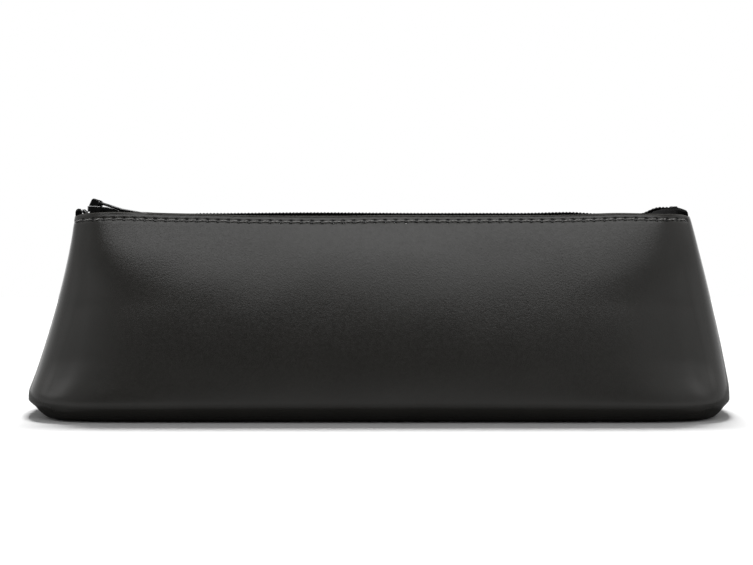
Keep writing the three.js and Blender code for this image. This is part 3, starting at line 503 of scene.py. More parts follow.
def panel_points(face):
    """Outer points, inner points, normals and depths of one panel."""
    left, depth_left = half_grid(LEFT)
    right, depth_right = half_grid(RIGHT)
    grid = np.concatenate([left[:, ::-1], right[:, 1:]], 1)
    depths = np.concatenate([depth_left[:, ::-1], depth_right[:, 1:]], 1)
    normals = grid_normals(grid)
    height = relief(grid, normals, depths, face)
    height[-1] = 0
    shift = normals * height[..., None]
    # The turned-in columns keep their distance from the seam and follow the end wall
    shift[:, :TURN_COLUMNS] = shift[:, TURN_COLUMNS : TURN_COLUMNS + 1] * (1, 0, 1)
    shift[:, -TURN_COLUMNS:] = shift[:, -TURN_COLUMNS - 1 : -TURN_COLUMNS] * (1, 0, 1)
    grid = grid + shift
    normals = grid_normals(grid)
    inner = grid - normals * LEATHER
    # Cells shrink to nothing at the boxed corners, where the inner face is held above the table
    inner[..., 2] = np.maximum(inner[..., 2], 0)
    return grid, inner, normals, depths


# Meshes


def add_object(name, data):
    obj = bpy.data.objects.new(name, data)
    bpy.context.scene.collection.objects.link(obj)
    return obj


def new_object(name, points, faces, places=None, looks=None):
    """Mesh object from points in millimetres, with smooth faces that point outward."""
    mesh = bpy.data.meshes.new(name)
    mesh.from_pydata((np.asarray(points, float) * MM).tolist(), [], faces)
    if places is not None:
        layer = mesh.uv_layers.new(name="surface")
        corner = np.zeros(len(mesh.loops), int)
        mesh.loops.foreach_get("vertex_index", corner)
        layer.data.foreach_set("uv", np.asarray(places, np.float32)[corner].ravel())
    if looks is not None:
        mesh.polygons.foreach_set("material_index", np.asarray(looks, np.int32))
    obj = add_object(name, mesh)
    work = bmesh.new()
    work.from_mesh(mesh)
    bmesh.ops.remove_doubles(work, verts=work.verts, dist=SAME_POINT)
    bmesh.ops.recalc_face_normals(work, faces=work.faces)
    if work.calc_volume(signed=True) < 0:
        bmesh.ops.reverse_faces(work, faces=work.faces)
    finish_mesh(work, mesh)
    return obj


def finish_mesh(work, mesh):
    for face in work.faces:
        face.smooth = True
    work.to_mesh(mesh)
    work.free()


def softened(node, name, width):
    """A copy of a CAD node with its sharp edges rounded."""
    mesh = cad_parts[node].data.copy()
    mesh.name = name
    mesh.materials.clear()
    obj = add_object(name, mesh)
    work = bmesh.new()
    work.from_mesh(mesh)
    bmesh.ops.remove_doubles(work, verts=work.verts, dist=SAME_SOLID_POINT)
    bmesh.ops.dissolve_limit(work, angle_limit=np.radians(FLAT), verts=work.verts, edges=work.edges)
    paired = [e for e in work.edges if len(e.link_faces) == 2]
    sharp = [e for e in paired if e.calc_face_angle() > np.radians(SHARP)]
    rounding = {"offset": width * MM, "segments": BEVEL_STEPS, "profile": 0.5, "clamp_overlap": True}
    bmesh.ops.bevel(work, geom=sharp, affect="EDGES", **rounding)
    bmesh.ops.triangulate(work, faces=[f for f in work.faces if len(f.verts) > 4])
    bmesh.ops.recalc_face_normals(work, faces=work.faces)
    finish_mesh(work, mesh)
    mesh.set_sharp_from_angle(angle=np.radians(SHADED_SHARP))
    return obj


def loft_faces(loops, count):
    """Faces between closed loops of points that follow one another."""
    faces = []
    for i in range(loops - 1):
        for k in range(count):
            m = (k + 1) % count
            faces.append([i * count + k, i * count + m, (i + 1) * count + m, (i + 1) * count + k])
    return faces


def tube(path, radius, sides):
    """Points and faces of a closed round strand along a path in millimetres."""
    along = unit(np.gradient(path, axis=0))
    across = np.cross(along[0], (0, 0, 1.0) if abs(along[0][2]) < 0.9 else (0, 1.0, 0))
    frames = []
    for tangent in along:
        across = unit(across - tangent * np.dot(across, tangent))
        frames.append((across, np.cross(tangent, across)))
    frames = np.array(frames)
    a = np.arange(sides) / sides * 2 * np.pi
    ring = np.cos(a)[:, None, None] * frames[None, :, 0] + np.sin(a)[:, None, None] * frames[None, :, 1]
    points = (path[None] + ring * radius).transpose(1, 0, 2).reshape(-1, 3)
    faces = loft_faces(len(path), sides)
    faces.append(list(range(sides))[::-1])
    faces.append([(len(path) - 1) * sides + k for k in range(sides)])
    return points, faces


def joined(parts):
    """Points and faces of several strands as one mesh."""
    points, faces, start = [], [], 0
    for strand, loops in parts:
        points.append(strand)
        faces += [[i + start for i in loop] for loop in loops]
        start += len(strand)
    return np.concatenate(points), faces


# Leather panels


class Build:
    """Points, surface places, faces and looks of a piece built step by step."""

    def __init__(self):
        self.points, self.places, self.faces, self.looks = [], [], [], []

    def add_points(self, points, places):
        """Adds points with their surface places and returns their numbers."""
        start = sum(len(p) for p in self.points)
        self.points.append(points)
        self.places.append(places)
        return np.arange(len(points)) + start

    def add_faces(self, faces, look):
        self.faces += faces
        self.looks += [look] * len(faces)


def sheet_faces(index):
    """Faces of a grid of point numbers."""
    a, b = index[:-1, :-1].ravel(), index[:-1, 1:].ravel()
    c, d = index[1:, 1:].ravel(), index[1:, :-1].ravel()
    return np.stack([a, b, c, d], 1).tolist()


def cut_edge(build, outer, inner, skin, lining):
    """Adds the rounded cut edge along the mouth and returns its rings of points."""
    up = unit(outer[0] - outer[1])
    rings = [skin[0]]
    for share, rise in EDGE_RINGS:
        ring = lerp(outer[0], inner[0], share) + up * EDGE_ROUND * rise
        rings.append(build.add_points(ring, np.stack([outer[0, :, 0], np.full(len(ring), -share)], 1)))
    rings.append(lining[0])
    for i, (low, high) in enumerate(zip(rings, rings[1:])):
        strip = [[low[k], high[k], high[k + 1], low[k + 1]] for k in range(len(low) - 1)]
        # The first strips take the rounded-edge look, whose lighter colour is a painted highlight
        build.add_faces(strip, ROUNDED if i < ROUNDED_STRIPS else CUT)
    return rings


def seam_tips(rim):
    """Inner ends of the turned-in seam allowance, square to the seam line."""
    tips = []
    for i, here in enumerate(rim):
        before = next((p for p in rim[i - 1 :: -1] if i and np.linalg.norm(p - here) > SAME_PLACE), here)
        after = next((p for p in rim[i + 1 :] if np.linalg.norm(p - here) > SAME_PLACE), here)
        dx, dz = after[0] - before[0], after[2] - before[2]
        n = np.hypot(dx, dz)
        mouth = smooth(*MOUTH_TRIM, EDGE_HEIGHT - here[2])
        corner = smooth(*CORNER_TRIM, np.hypot(abs(here[0]) - BASE_HALF, here[2]))
        wide = lerp(ALLOWANCE_LEAST, ALLOWANCE, min(mouth, corner))
        level = i in (0, len(rim) - 1)
        tips.append([here[0] - dz / n * wide, here[1], here[2] + (0 if level else dx / n * wide)])
    return np.array(tips)


def seam_allowance(build, outer, skin, lining, rings):
    """Adds the allowance turned in along the end and base seams, closed at the mouth."""
    rows, columns = skin.shape
    path = [(r, 0) for r in range(rows)] + [(rows - 1, k) for k in range(1, columns - 1)]
    path += [(r, columns - 1) for r in range(rows - 1, -1, -1)]
    down, across = np.array(path).T
    rim = outer[down, across]
    tips = seam_tips(rim)
    places = np.stack([rim[:, 0], np.full(len(rim), ALLOWANCE_DEPTH)], 1)
    near = build.add_points(tips, places)
    far = build.add_points(tips * (1, 0, 1) + (0, SEAM_HALF + LEATHER, 0), places)
    lines = (skin[down, across], near, far, lining[down, across])
    for i in range(len(rim) - 1):
        for a, b, look in zip(lines, lines[1:], (GRAIN, CUT, SUEDE)):
            build.add_faces([[a[i], a[i + 1], b[i + 1], b[i]]], look)
    for column, end in ((0, 0), (columns - 1, -1)):
        build.add_faces([[near[end], *(ring[column] for ring in rings), far[end]]], CUT)


def leather_panel(face, name):
    """One leather panel, with the outer points and normals that its stitches follow."""
    outer, inner, normals, depths = panel_points(face)
    rows, columns = depths.shape
    build = Build()
    places = np.stack([outer[..., 0], depths], 2).reshape(-1, 2)
    skin = build.add_points(outer.reshape(-1, 3), places).reshape(rows, columns)
    lining = build.add_points(inner.reshape(-1, 3), places).reshape(rows, columns)
    # The back panel's matte rounded-edge look, with its painted highlight, reaches a little way down its
    # outer face
    matte_painted_highlight_faces = 0 if face == FRONT else columns - 1
    faces = sheet_faces(skin)
    build.add_faces(faces[:matte_painted_highlight_faces], ROUNDED)
    build.add_faces(faces[matte_painted_highlight_faces:], GRAIN)
    build.add_faces([loop[::-1] for loop in sheet_faces(lining)], SUEDE)
    rings = cut_edge(build, outer, inner, skin, lining)
    seam_allowance(build, outer, skin, lining, rings)
    flip = np.array((1, face, 1))
    points = np.concatenate(build.points) * flip
    obj = new_object(name, points, build.faces, np.concatenate(build.places), build.looks)
    return obj, outer * flip, normals * flip


# Stitches and zip


def sewing_line(values, x):
    """Values of a panel's grid along the line of stitches; x is the place of each column."""
    row = stitch_depth(x) / BAND * BAND_ROWS
    above = row.astype(int)
    column = np.arange(len(x))
    return lerp(values[above, column], values[above + 1, column], (row - above)[:, None])


def stitches(outer, normals):
    """Points and faces of the stitches along the mouth."""
    plain = slice(TURN_COLUMNS + 1, -TURN_COLUMNS - 1)
    columns = outer[0, plain, 0]
    line, away = sewing_line(outer[:, plain], columns), sewing_line(normals[:, plain], columns)
    count = round((STITCH_TO - STITCH_FROM) / STITCH_PITCH)
    pitch = (STITCH_TO - STITCH_FROM) / count
    s = np.linspace(0, 1, STITCH_POINTS)
    rise = STITCH_DIVE + STITCH_ARCH * np.sin(np.pi * np.clip(s, 0.02, 0.98)) ** STITCH_ROUND
    slant = (s - 0.5) * STITCH_SLANT
    parts = []
    for i in range(count):
        x = STITCH_FROM + pitch * (i + STITCH_START + STITCH_SHARE * s)
        base = np.stack([np.interp(x, line[:, 0], line[:, k]) for k in range(3)], 1)
        n = np.stack([np.interp(x, line[:, 0], away[:, k]) for k in range(3)], 1)
        n = unit(n * (1, 1, 0))
        core = base + n * rise[:, None] + np.outer(slant, (0, 0, 1))
        turn = 2 * np.pi * PLY_TURNS * s + i
        for a in (turn, turn + np.pi):
            side = np.outer(np.cos(a), (0, 0, 1)) + n * np.sin(a)[:, None]
            parts.append(tube(core + side * PLY * PLY_APART, PLY, sides=6))
    return joined(parts)


def first_turn(face):
    """Where the helix of one coil starts: the two coils mesh half a pitch apart."""
    return COIL_LEFT + COIL_PITCH * (0.5 if face == FRONT else 1.0)


def coil_top(face, x):
    """Height of the top of one coil."""
    return chain_top(x) - (BACK_COIL_LOW if face == BACK else 0)


def strand(face, x, out, z, radius, sides):
    """A round strand along one half of the chain, moved out where the coils part."""
    return tube(np.stack([x, face * (out + parting(x)), z], 1), radius, sides)


def coil_helix(face, low, high):
    """The nylon filament of one coil between two stations."""
    first = first_turn(face)
    turns = (COIL_RIGHT - first) / COIL_PITCH
    theta = np.linspace(0, 2 * np.pi * turns, int(TURN_POINTS * turns))
    x = first + COIL_PITCH * theta / (2 * np.pi)
    keep = (x >= low) & (x <= high)
    theta, x = theta[keep], x[keep]
    reach = (COIL_OUTER + COIL_OVERLAP) / 2 - FILAMENT
    out = COIL_MIDDLE - reach * np.cos(theta)
    top, bottom = coil_top(face, x) - FILAMENT, chain_top(x) - COIL_HEIGHT + FILAMENT
    z = lerp(bottom, top, 0.5 + 0.5 * np.sin(theta))
    return strand(face, x, out, z, FILAMENT, sides=6)


def coil_cord(face, low, high):
    """The filler cord inside one coil between two stations."""
    count = int((high - low) / CORD_STEP) + 2
    x = np.linspace(max(low, COIL_LEFT + CORD_END), min(high, COIL_RIGHT - CORD_END), count)
    return strand(face, x, COIL_MIDDLE + CORD_OUT, chain_top(x) - COIL_HEIGHT / 2, CORD, sides=8)


def coil_sewing(face, low, high):
    """Two lines of thread that hold the coil to its tape."""
    first, last = max(low, COIL_LEFT + COIL_THREAD_END), min(high, COIL_RIGHT - COIL_THREAD_END)
    x = np.linspace(first, last, int((high - low) / COIL_THREAD_STEP))
    wave = COIL_THREAD_WAVE * np.sin(2 * np.pi * (x - first_turn(face)) / COIL_PITCH)
    z = coil_top(face, x) - COIL_THREAD_LOW + wave
    return joined([strand(face, x, out, z, COIL_THREAD, sides=5) for out in COIL_THREAD_PLACES])


def tape_wall(x, z):
    """Distance from the middle at which the tape lies against the inner wall."""
    return max(TAPE_CLOSEST, float(inside_wall(x * TAPE_END_MARGIN, min(z, EDGE_HEIGHT))) - TAPE_CLEAR)


def tape_knots(x):
    """Corners of the tape's section at x, as distance from the middle and height, coil first."""
    top, part = float(chain_top(x)) - TAPE_TOP, float(parting(x))
    near = COIL_OUTER + part
    curl = CURL_ARCH * float(smooth(ARCH_X, ARCH_X + ARCH_RISE, x))
    curl += CURL_STOP * float(smooth(*CURL_STOP_RUN, x))
    slope = lerp(top, TAPE_HANG, TAPE_SLOPE_DOWN) - TAPE_SAG + 0.5 * curl
    bend, half, low = (TAPE_HANG - down for down in (TAPE_BEND, TAPE_DROP / 2, TAPE_DROP))
    knots = (
        (TAPE_INNER + part, top),
        (near + TAPE_FLAT, top),
        (near + TAPE_CURL_AT, top + curl),
        (lerp(near, tape_wall(x, TAPE_HANG), TAPE_SLOPE_OUT), slope),
        (tape_wall(x, bend) - TAPE_BEND_CLEAR, bend),
        (tape_wall(x, half), half),
        (tape_wall(x, low), low),
    )
    return np.array([(min(y, tape_wall(x, z)), z) for y, z in knots])


def eased(values):
    """A line of values with its corners softened, ends kept."""
    for _ in range(2):
        values[1:-1] = (values[:-2] + 2 * values[1:-1] + values[2:]) / 4
    return values


def tape_sheet(face, low, high):
    """Points, faces and surface places of one zip tape between two stations."""
    xs = np.linspace(max(low, ZIP_LEFT), min(high, ZIP_RIGHT), int((high - low) / TAPE_STEP) + 2)
    points, places = [], []
    for x in xs:
        knots = tape_knots(x)
        run = np.append(0, np.cumsum(np.hypot(*np.diff(knots, axis=0).T)))
        s = np.linspace(0, run[-1], TAPE_POINTS)
        y, z = eased(np.interp(s, run, knots[:, 0])), eased(np.interp(s, run, knots[:, 1]))
        dy, dz = np.gradient(y), np.gradient(z)
        n = np.hypot(dy, dz)
        under = np.stack([y + dz / n * TAPE_THICK, z - dy / n * TAPE_THICK], 1)
        loop = np.concatenate([np.stack([y, z], 1), under[::-1]])
        points += [(x, face * a, b) for a, b in loop]
        places += [(x, v) for v in np.concatenate([s, s[::-1]])]
    count = 2 * TAPE_POINTS
    faces = loft_faces(len(xs), count)
    for start in (0, (len(xs) - 1) * count):
        for k in range(TAPE_POINTS - 1):
            faces.append([start + i for i in (k, k + 1, count - 2 - k, count - 1 - k)])
    return np.array(points), faces, np.array(places)


def tape_fold(face, stations):
    """Points, faces and surface places of the folded end of one tape, rounded over the top."""
    a = np.linspace(0, np.pi / 2, FOLD_POINTS)
    points, places = [], []
    for x, wide, low, high in stations:
        out = FOLD_INNER + (wide - FOLD_INNER) * np.cos(a) ** FOLD_ROUND
        up = low + (high - low) * np.sin(a) ** FOLD_ROUND
        loop = np.append(np.stack([out, up], 1), [[FOLD_INNER, low]], 0)
        points += [(x, face * y, z) for y, z in loop]
        places += [(x, 3 * v) for v in np.append(a, 0)]
    count = FOLD_POINTS + 1
    caps = [[start + k for k in range(count)] for start in (0, (len(stations) - 1) * count)]
    return np.array(points), caps + loft_faces(len(stations), count), np.array(places)


# Materials


class Nodes:
    """Short ways to add nodes to a node tree."""

    def __init__(self, tree):
        self.tree = tree

    def feed(self, socket, value):
        """Links an output to a socket, or sets the socket's own value."""
        if isinstance(value, bpy.types.NodeSocket):
            self.tree.links.new(value, socket)
        else:
            socket.default_value = value

    def node(self, kind, inputs=(), **settings):
        made = self.tree.nodes.new(kind)
        for key, value in settings.items():
            setattr(made, key, value)
        for key, value in dict(inputs).items():
            self.feed(made.inputs[key], value)
        return made

    def math(self, kind, *values):
        return self.node("ShaderNodeMath", enumerate(values), operation=kind).outputs["Value"]

    def ramp(self, value, span, out):
        """A value's span spread smoothly over another span."""
        inputs = zip(("Value", "From Min", "From Max", "To Min", "To Max"), (value, *span, *out))
        return self.node("ShaderNodeMapRange", inputs, interpolation_type="SMOOTHSTEP").outputs["Result"]

    def either(self, share, a, b):
        """The first shader where the share is 0, the second where it is 1."""
        return self.node("ShaderNodeMixShader", enumerate((share, a, b))).outputs["Shader"]


class Look(Nodes):
    """A Principled material and short ways to add detail to it."""

    def __init__(self, name, color, roughness, specular):
        self.material = bpy.data.materials.new(name)
        self.material.use_nodes = True
        super().__init__(self.material.node_tree)
        self.give("Base Color", (*color, 1))
        self.give("Roughness", roughness)
        self.give("Specular IOR Level", specular)
        self.place = self.node("ShaderNodeTexCoord").outputs["Object"]

    def give(self, name, value):
        self.feed(self.tree.nodes["Principled BSDF"].inputs[name], value)

    def noise(self, scale, detail, rough):
        inputs = {"Vector": self.place, "Scale": scale, "Detail": detail, "Roughness": rough}
        return self.node("ShaderNodeTexNoise", inputs).outputs["Fac"]

    def cells(self, scale):
        inputs = {"Vector": self.place, "Scale": scale}
        return self.node("ShaderNodeTexVoronoi", inputs, feature="SMOOTH_F1").outputs["Distance"]

    def mix(self, share, a, b):
        made = self.node("ShaderNodeMix", {"Factor": share}, data_type="RGBA")
        colors = [s for s in made.inputs if s.type == "RGBA"]
        for socket, value in zip(colors, (a, b)):
            self.feed(socket, (*value, 1) if isinstance(value, tuple) else value)
        return next(s for s in made.outputs if s.type == "RGBA")

    def mottle(self, pattern, dark, light):
        """A colour that wanders between two tones with a noise pattern."""
        return self.mix(self.ramp(pattern, (0.3, 0.7), (0.0, 1.0)), dark, light)

    def bump(self, height, distance, strength, after=None):
        inputs = {"Strength": strength, "Distance": distance, "Height": height}
        if after:
            inputs["Normal"] = after
        return self.node("ShaderNodeBump", inputs).outputs["Normal"]

    def surface(self):
        """Places on the surface in millimetres: along the mouth, and down from the edge."""
        places = self.node("ShaderNodeUVMap", uv_map="surface").outputs["UV"]
        split = self.node("ShaderNodeSeparateXYZ", {"Vector": places}).outputs
        return split["X"], split["Y"]


def needle_holes(look):
    """1 in the needle holes along the line of stitches, 0 elsewhere."""
    along, down = look.surface()
    step = look.math("DIVIDE", look.math("SUBTRACT", along, STITCH_FROM), STITCH_PITCH)
    near = look.math("SUBTRACT", look.math("FRACT", look.math("ADD", step, 0.5)), 0.5)
    dx = look.math("MULTIPLY", near, STITCH_PITCH)
    line = look.math("ADD", look.math("MULTIPLY", along, STITCH_TILT), STITCH_INSET)
    dy = look.math("SUBTRACT", down, line)
    far = look.math("ADD", look.math("MULTIPLY", dx, dx), look.math("MULTIPLY", dy, dy))
    return look.ramp(far, (0.2, 0.5), (1.0, 0.0))


def leather_look():
    look = Look("leather_grain", color=(0.042, 0.0398, 0.0348), roughness=0.21, specular=1.0)
    color = look.mottle(look.noise(55, 4, 0.6), (0.039, 0.037, 0.0323), (0.045, 0.0426, 0.0373))
    hole = needle_holes(look)
    # The needle holes are painted near black: painted shade in the holes, besides the dent that the bump
    # gives them
    look.give("Base Color", look.mix(hole, color, (0.004, 0.004, 0.004)))
    look.give("Roughness", look.ramp(look.noise(900, 2, 0.5), (0.25, 0.75), (0.19, 0.25)))
    grain = look.bump(look.cells(2600), 0.00004, 0.35)
    pores = look.bump(look.noise(1400, 3, 0.6), 0.00006, 0.3, grain)
    look.give("Normal", look.bump(hole, -0.0005, 0.9, pores))
    return look.material


def suede_look():
    look = Look("leather_inside", color=(0.05, 0.046, 0.042), roughness=0.9, specular=0.2)
    nap = look.noise(700, 5, 0.7)
    look.give("Base Color", look.mottle(nap, (0.036, 0.033, 0.03), (0.062, 0.057, 0.052)))
    look.give("Normal", look.bump(look.noise(3200, 4, 0.7), 0.0002, 0.5))
    return look.material


def cut_edge_look():
    look = Look("leather_cut_edge", color=(0.045, 0.043, 0.04), roughness=0.8, specular=0.0)
    layers = look.noise(2500, 4, 0.6)
    look.give("Base Color", look.mottle(layers, (0.03, 0.029, 0.027), (0.06, 0.057, 0.053)))
    look.give("Normal", look.bump(look.noise(4000, 3, 0.6), 0.0001, 0.5))
    return look.material


def rounded_edge_look():
    # The colour, lighter than the grain, is a painted highlight along the rounded edge; the high roughness
    # and low specular keep it matte
    look = Look("leather_rounded_edge_painted_highlight", color=(0.075, 0.0715, 0.064), roughness=0.6, specular=0.12)
    look.give("Normal", look.bump(look.noise(1400, 3, 0.6), 0.00006, 0.3))
    return look.material


def thread_look():
    look = Look("sewing_thread", color=(0.37, 0.365, 0.355), roughness=0.6, specular=0.35)
    fibres = look.noise(9000, 3, 0.6)
    look.give("Base Color", look.mottle(fibres, (0.28, 0.276, 0.268), (0.46, 0.454, 0.442)))
    look.give("Normal", look.bump(look.noise(12000, 2, 0.5), 0.00005, 0.5))
    return look.material


def tape_look():
    look = Look("woven_tape", color=(0.005, 0.005, 0.005), roughness=0.85, specular=0.12)
    along, down = look.surface()
    warp = look.math("SINE", look.math("MULTIPLY", along, WARP))
    slant = look.math("MULTIPLY", along, WEFT_SLANT)
    weft = look.math("SINE", look.math("ADD", look.math("MULTIPLY", down, WEFT), slant))
    weave = look.math("MULTIPLY", warp, weft)
    tone = look.ramp(weave, (-1.0, 1.0), (0.0, 1.0))
    look.give("Base Color", look.mix(tone, (0.003, 0.003, 0.003), (0.007, 0.007, 0.007)))
    look.give("Normal", look.bump(weave, 0.00006, 0.8))
    return look.material


def nylon_look():
    look = Look("nylon_coil", color=(0.005, 0.005, 0.005), roughness=0.38, specular=0.15)
    look.give("Roughness", look.ramp(look.noise(1500, 2, 0.5), (0.3, 0.7), (0.32, 0.45)))
    look.give("Normal", look.bump(look.noise(5000, 2, 0.5), 0.00002, 0.4))
    return look.material


def metal_look():
    look = Look("black_lacquered_metal", color=(0.004, 0.004, 0.004), roughness=0.34, specular=0.2)
    look.give("Roughness", look.ramp(look.noise(1200, 4, 0.6), (0.35, 0.7), (0.28, 0.42)))
    look.give("Normal", look.bump(look.noise(2600, 3, 0.5), 0.00003, 0.35))
    return look.material


# In the order of GRAIN, SUEDE, CUT and ROUNDED
LEATHER_LOOKS = (leather_look(), suede_look(), cut_edge_look(), rounded_edge_look())
THREAD_LOOK, TAPE_LOOK, NYLON_LOOK, METAL_LOOK = thread_look(), tape_look(), nylon_look(), metal_look()


def dress(obj, slot, *looks):
    """Gives a piece its looks; the slot is not used."""
    # Clearing the list would also reset which face has which look, so a new piece is left alone
    if obj.data.materials:
        obj.data.materials.clear()
    for look in looks:
        obj.data.materials.append(look)
    return obj


# Shares of the motion that soft pieces would follow, worked out but not kept


def set_shares(obj, share_of):
    """Works out the share of the motion that each point follows, but does not keep it; share_of takes
    millimetres.
    """
    co = np.zeros(len(obj.data.vertices) * 3, np.float32)
    obj.data.vertices.foreach_get("co", co)
    shares = share_of(co.reshape(-1, 3) / MM).astype(np.float32)


def bend_with_zip(obj):
    """Bakes the piece's placement and works out the share by which it would open with that half of the zip,
    most in the middle of the mouth.
    """
    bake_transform(obj)
    set_shares(obj, lambda points: opened(points[:, 0], points[:, 2]))


def follow_end(obj, share_of):
    """Bakes the piece's placement and works out the share by which it would lie down with the arched end of
    the chain when the slider comes to it.
    """
    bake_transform(obj)
    set_shares(obj, share_of)


def fold_share(points):
    return 1 - FOLD_HELD * smooth(RIGHT_FOLD[0][0], RIGHT_FOLD[-1][0], points[:, 0])


def chain_end_share(points):
    """The chain lies level where the slider stops, and settles with the bottom stop beyond it."""
    x = points[:, 0]
    rise = smooth(ARCH_X, ARCH_X + ARCH_RISE, x)
    return rise * lerp(ARCH_UP / SETTLE, 1, smooth(NOSE + TRAVEL + SLIDER_LENGTH, COIL_RIGHT, x))


def tape_end_share(points):
    held = TAPE_HANG - TAPE_HELD
    return chain_end_share(points) * smooth(held, held + TAPE_LOOSENS, points[:, 2])


# Pieces of the pouch and the zip, front half and back half

# Name, shape, slot, look, share at the arched end, and the solid that the piece stands for
ZIP_PIECES = (
    ("tape", tape_sheet, "tape", TAPE_LOOK, tape_end_share, "zip_tape"),
    ("coil", coil_helix, "coil", NYLON_LOOK, chain_end_share, "zip_coil"),
    ("cord", coil_cord, "tape", TAPE_LOOK, chain_end_share, "coil_cord"),
    ("coil_sewing", coil_sewing, "tape", TAPE_LOOK, chain_end_share, None),
)


def leather_and_stitches(face, word):
    panel, outer, normals = leather_panel(face, f"leather_{word}")
    dress(panel, "leather", *LEATHER_LOOKS)
    bend_with_zip(panel)
    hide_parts(f"{word}_panel")
    sewing = dress(new_object(f"mouth_stitches_{word}", *stitches(outer, normals)), "thread", THREAD_LOOK)
    bend_with_zip(sewing)
    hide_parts(f"top_stitch_{word}")


def zip_run(face, word, part, low, high):
    """Tape, coil, cord and coil sewing of one half between two stations."""
    for name, shape, slot, look, end_share, node in ZIP_PIECES:
        piece = dress(new_object(f"{name}_{word}{part}", *shape(face, low, high)), slot, look)
        if part:
            follow_end(piece, end_share)
        else:
            bend_with_zip(piece)
        if node:
            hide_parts(f"{node}_{word}")


def tape_ends(face, word):
    for side, fold in (("left", LEFT_FOLD), ("right", RIGHT_FOLD)):
        piece = dress(new_object(f"tape_fold_{side}_{word}", *tape_fold(face, fold)), "tape", TAPE_LOOK)
        if side == "left":
            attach(piece, "pouch")
        else:
            follow_end(piece, fold_share)
        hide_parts(f"zip_tape_{word}")


def metal_piece(node, name, rounding, body):
    piece = dress(softened(node, name, rounding), "metal", METAL_LOOK)
    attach(piece, body)
    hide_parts(node)


for face, word in ((FRONT, "front"), (BACK, "back")):
    leather_and_stitches(face, word)
    zip_run(face, word, "", ZIP_LEFT, ARCH_X)
    zip_run(face, word, "_end", ARCH_X, ZIP_RIGHT)
    tape_ends(face, word)
    metal_piece(f"top_stop_{word}", f"top_clip_{word}", 0.1, "pouch")

metal_piece("bottom_stop", "bottom_clip", 0.16, "zip_end")
metal_piece("slider_body", "slider_shell", 0.18, "slider")
metal_piece("slider_cap", "slider_bridge", 0.22, "slider")
metal_piece("lock_pawl", "slider_pawl", 0.06, "slider")
metal_piece("pull_tab", "slider_pull", 0.12, "pull")

# The hidden seam threads stay the solids themselves
for node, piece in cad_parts.items():
    if "thread" in node:
        dress(piece, "thread", THREAD_LOOK)

# Studio: white floor and backdrop, a soft box in front above, a bright strip high up behind


def area_light(name, place, target, width, length, radiance):
    data = bpy.data.lights.new(name, "AREA")
    data.shape, data.size, data.size_y = "RECTANGLE", width, length
    data.energy = radiance * np.pi * width * length
    lamp = add_object(name, data)
    lamp.location = place
    lamp.rotation_euler = (Vector(target) - Vector(place)).to_track_quat("-Z", "Y").to_euler()


def room_glow(nodes, direction):
    """Strength of the room's light by direction: low down in front, most at the sides, a little behind."""
    x, y, z = (direction[axis] for axis in "XYZ")
    low = nodes.ramp(z, (0.28, 0.55), (0.24, 0.04))
    before = nodes.ramp(y, (-0.35, 0.1), (1.0, 0.4))
    left = nodes.ramp(x, (-0.75, -0.15), (0.22, 0.0))
    right = nodes.ramp(x, (0.0, 0.55), (0.0, 0.24))
    beside = nodes.ramp(y, (-0.6, 0.1), (0.5, 1.25))
    behind = nodes.ramp(y, (0.2, 0.8), (0.0, 0.1))
    higher = nodes.ramp(z, (0.35, 0.7), (0.9, 2.6))
    overhead = nodes.ramp(z, (0.74, 0.86), (1.0, 0.0))
    front = nodes.math("MULTIPLY", low, before)
    sides = nodes.math("MULTIPLY", nodes.math("ADD", left, right), beside)
    sides = nodes.math("MULTIPLY", nodes.math("MULTIPLY", sides, higher), overhead)
    return nodes.math("ADD", nodes.math("ADD", front, sides), behind)


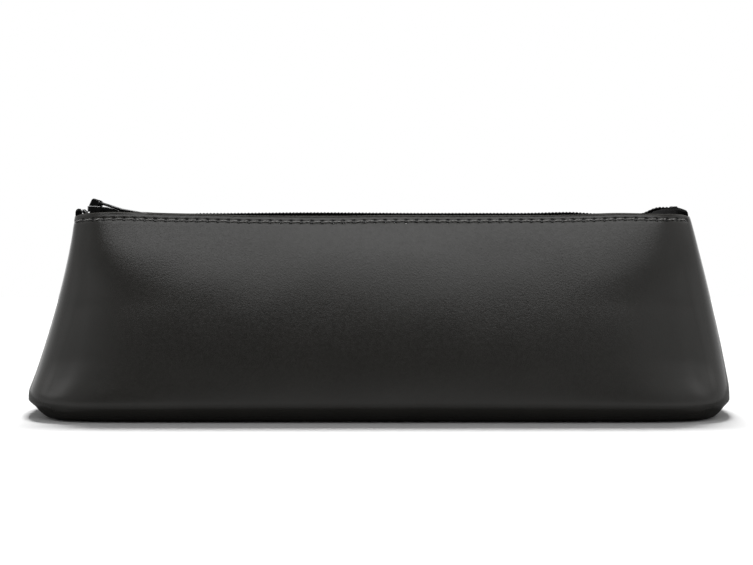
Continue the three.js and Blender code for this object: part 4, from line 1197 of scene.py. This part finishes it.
def studio_world():
    """White to the camera and in mirrorings from behind the case, a dim room to all else."""
    world = bpy.data.worlds.new("studio")
    bpy.context.scene.world = world
    world.use_nodes = True
    nodes = Nodes(world.node_tree)
    nodes.tree.nodes.clear()
    places = nodes.node("ShaderNodeTexCoord").outputs["Generated"]
    direction = nodes.node("ShaderNodeSeparateXYZ", {"Vector": places}).outputs
    lights = []
    for strength in (room_glow(nodes, direction), 1.0):
        inputs = {"Color": (1, 1, 1, 1), "Strength": strength}
        lights.append(nodes.node("ShaderNodeBackground", inputs).outputs["Background"])
    rays = nodes.node("ShaderNodeLightPath").outputs
    backdrop = nodes.ramp(direction["Y"], (0.7, 0.95), (0.0, 1.0))
    mirrored = nodes.math("MULTIPLY", rays["Is Glossy Ray"], backdrop)
    shown = nodes.math("MAXIMUM", rays["Is Camera Ray"], rays["Is Transmission Ray"])
    shown = nodes.math("MAXIMUM", shown, mirrored)
    nodes.node("ShaderNodeOutputWorld", {"Surface": nodes.either(shown, *lights)})


def floor_look():
    """White to the camera, grey in what it throws back on the leather."""
    material = bpy.data.materials.new("white_floor")
    material.use_nodes = True
    nodes = Nodes(material.node_tree)
    nodes.tree.nodes.clear()
    shades = []
    for shade in (FLOOR_BOUNCED, FLOOR_SEEN):
        made = nodes.node("ShaderNodeBsdfDiffuse", {"Color": (shade, shade, shade, 1)})
        shades.append(made.outputs["BSDF"])
    seen = nodes.node("ShaderNodeLightPath").outputs["Is Camera Ray"]
    nodes.node("ShaderNodeOutputMaterial", {"Surface": nodes.either(seen, *shades)})
    return material


def studio_floor():
    mesh = bpy.data.meshes.new("floor")
    near = [(-FLOOR_SIDE, FLOOR_NEAR, 0), (FLOOR_SIDE, FLOOR_NEAR, 0)]
    far = [(FLOOR_SIDE, FLOOR_FAR, 0), (-FLOOR_SIDE, FLOOR_FAR, 0)]
    mesh.from_pydata(near + far, [], [[0, 1, 2, 3]])
    floor = add_object("floor", mesh)
    floor.location.z = FLOOR_LOW
    floor.data.materials.append(floor_look())


def studio_camera():
    """A camera a little above the zip, tilted slightly down."""
    data = bpy.data.cameras.new("camera")
    data.lens, data.sensor_width, data.sensor_fit = CAMERA_LENS, CAMERA_SENSOR, "HORIZONTAL"
    data.clip_start, data.clip_end = 0.01, 50
    camera = add_object("camera", data)
    camera.location = CAMERA_PLACE
    camera.rotation_euler = (np.radians(90 - CAMERA_DOWN), 0, 0)
    bpy.context.scene.camera = camera


area_light("box_front", (-0.03, -0.72, 1.012), (-0.03, -0.02, 0.05), width=0.92, length=0.36, radiance=1.23)
area_light("box_back", (0, 1.19, 2.2), (0, 0, 0), width=1.0, length=0.34, radiance=64.0)
studio_world()
studio_floor()
studio_camera()
bpy.context.scene.view_settings.view_transform = "Standard"
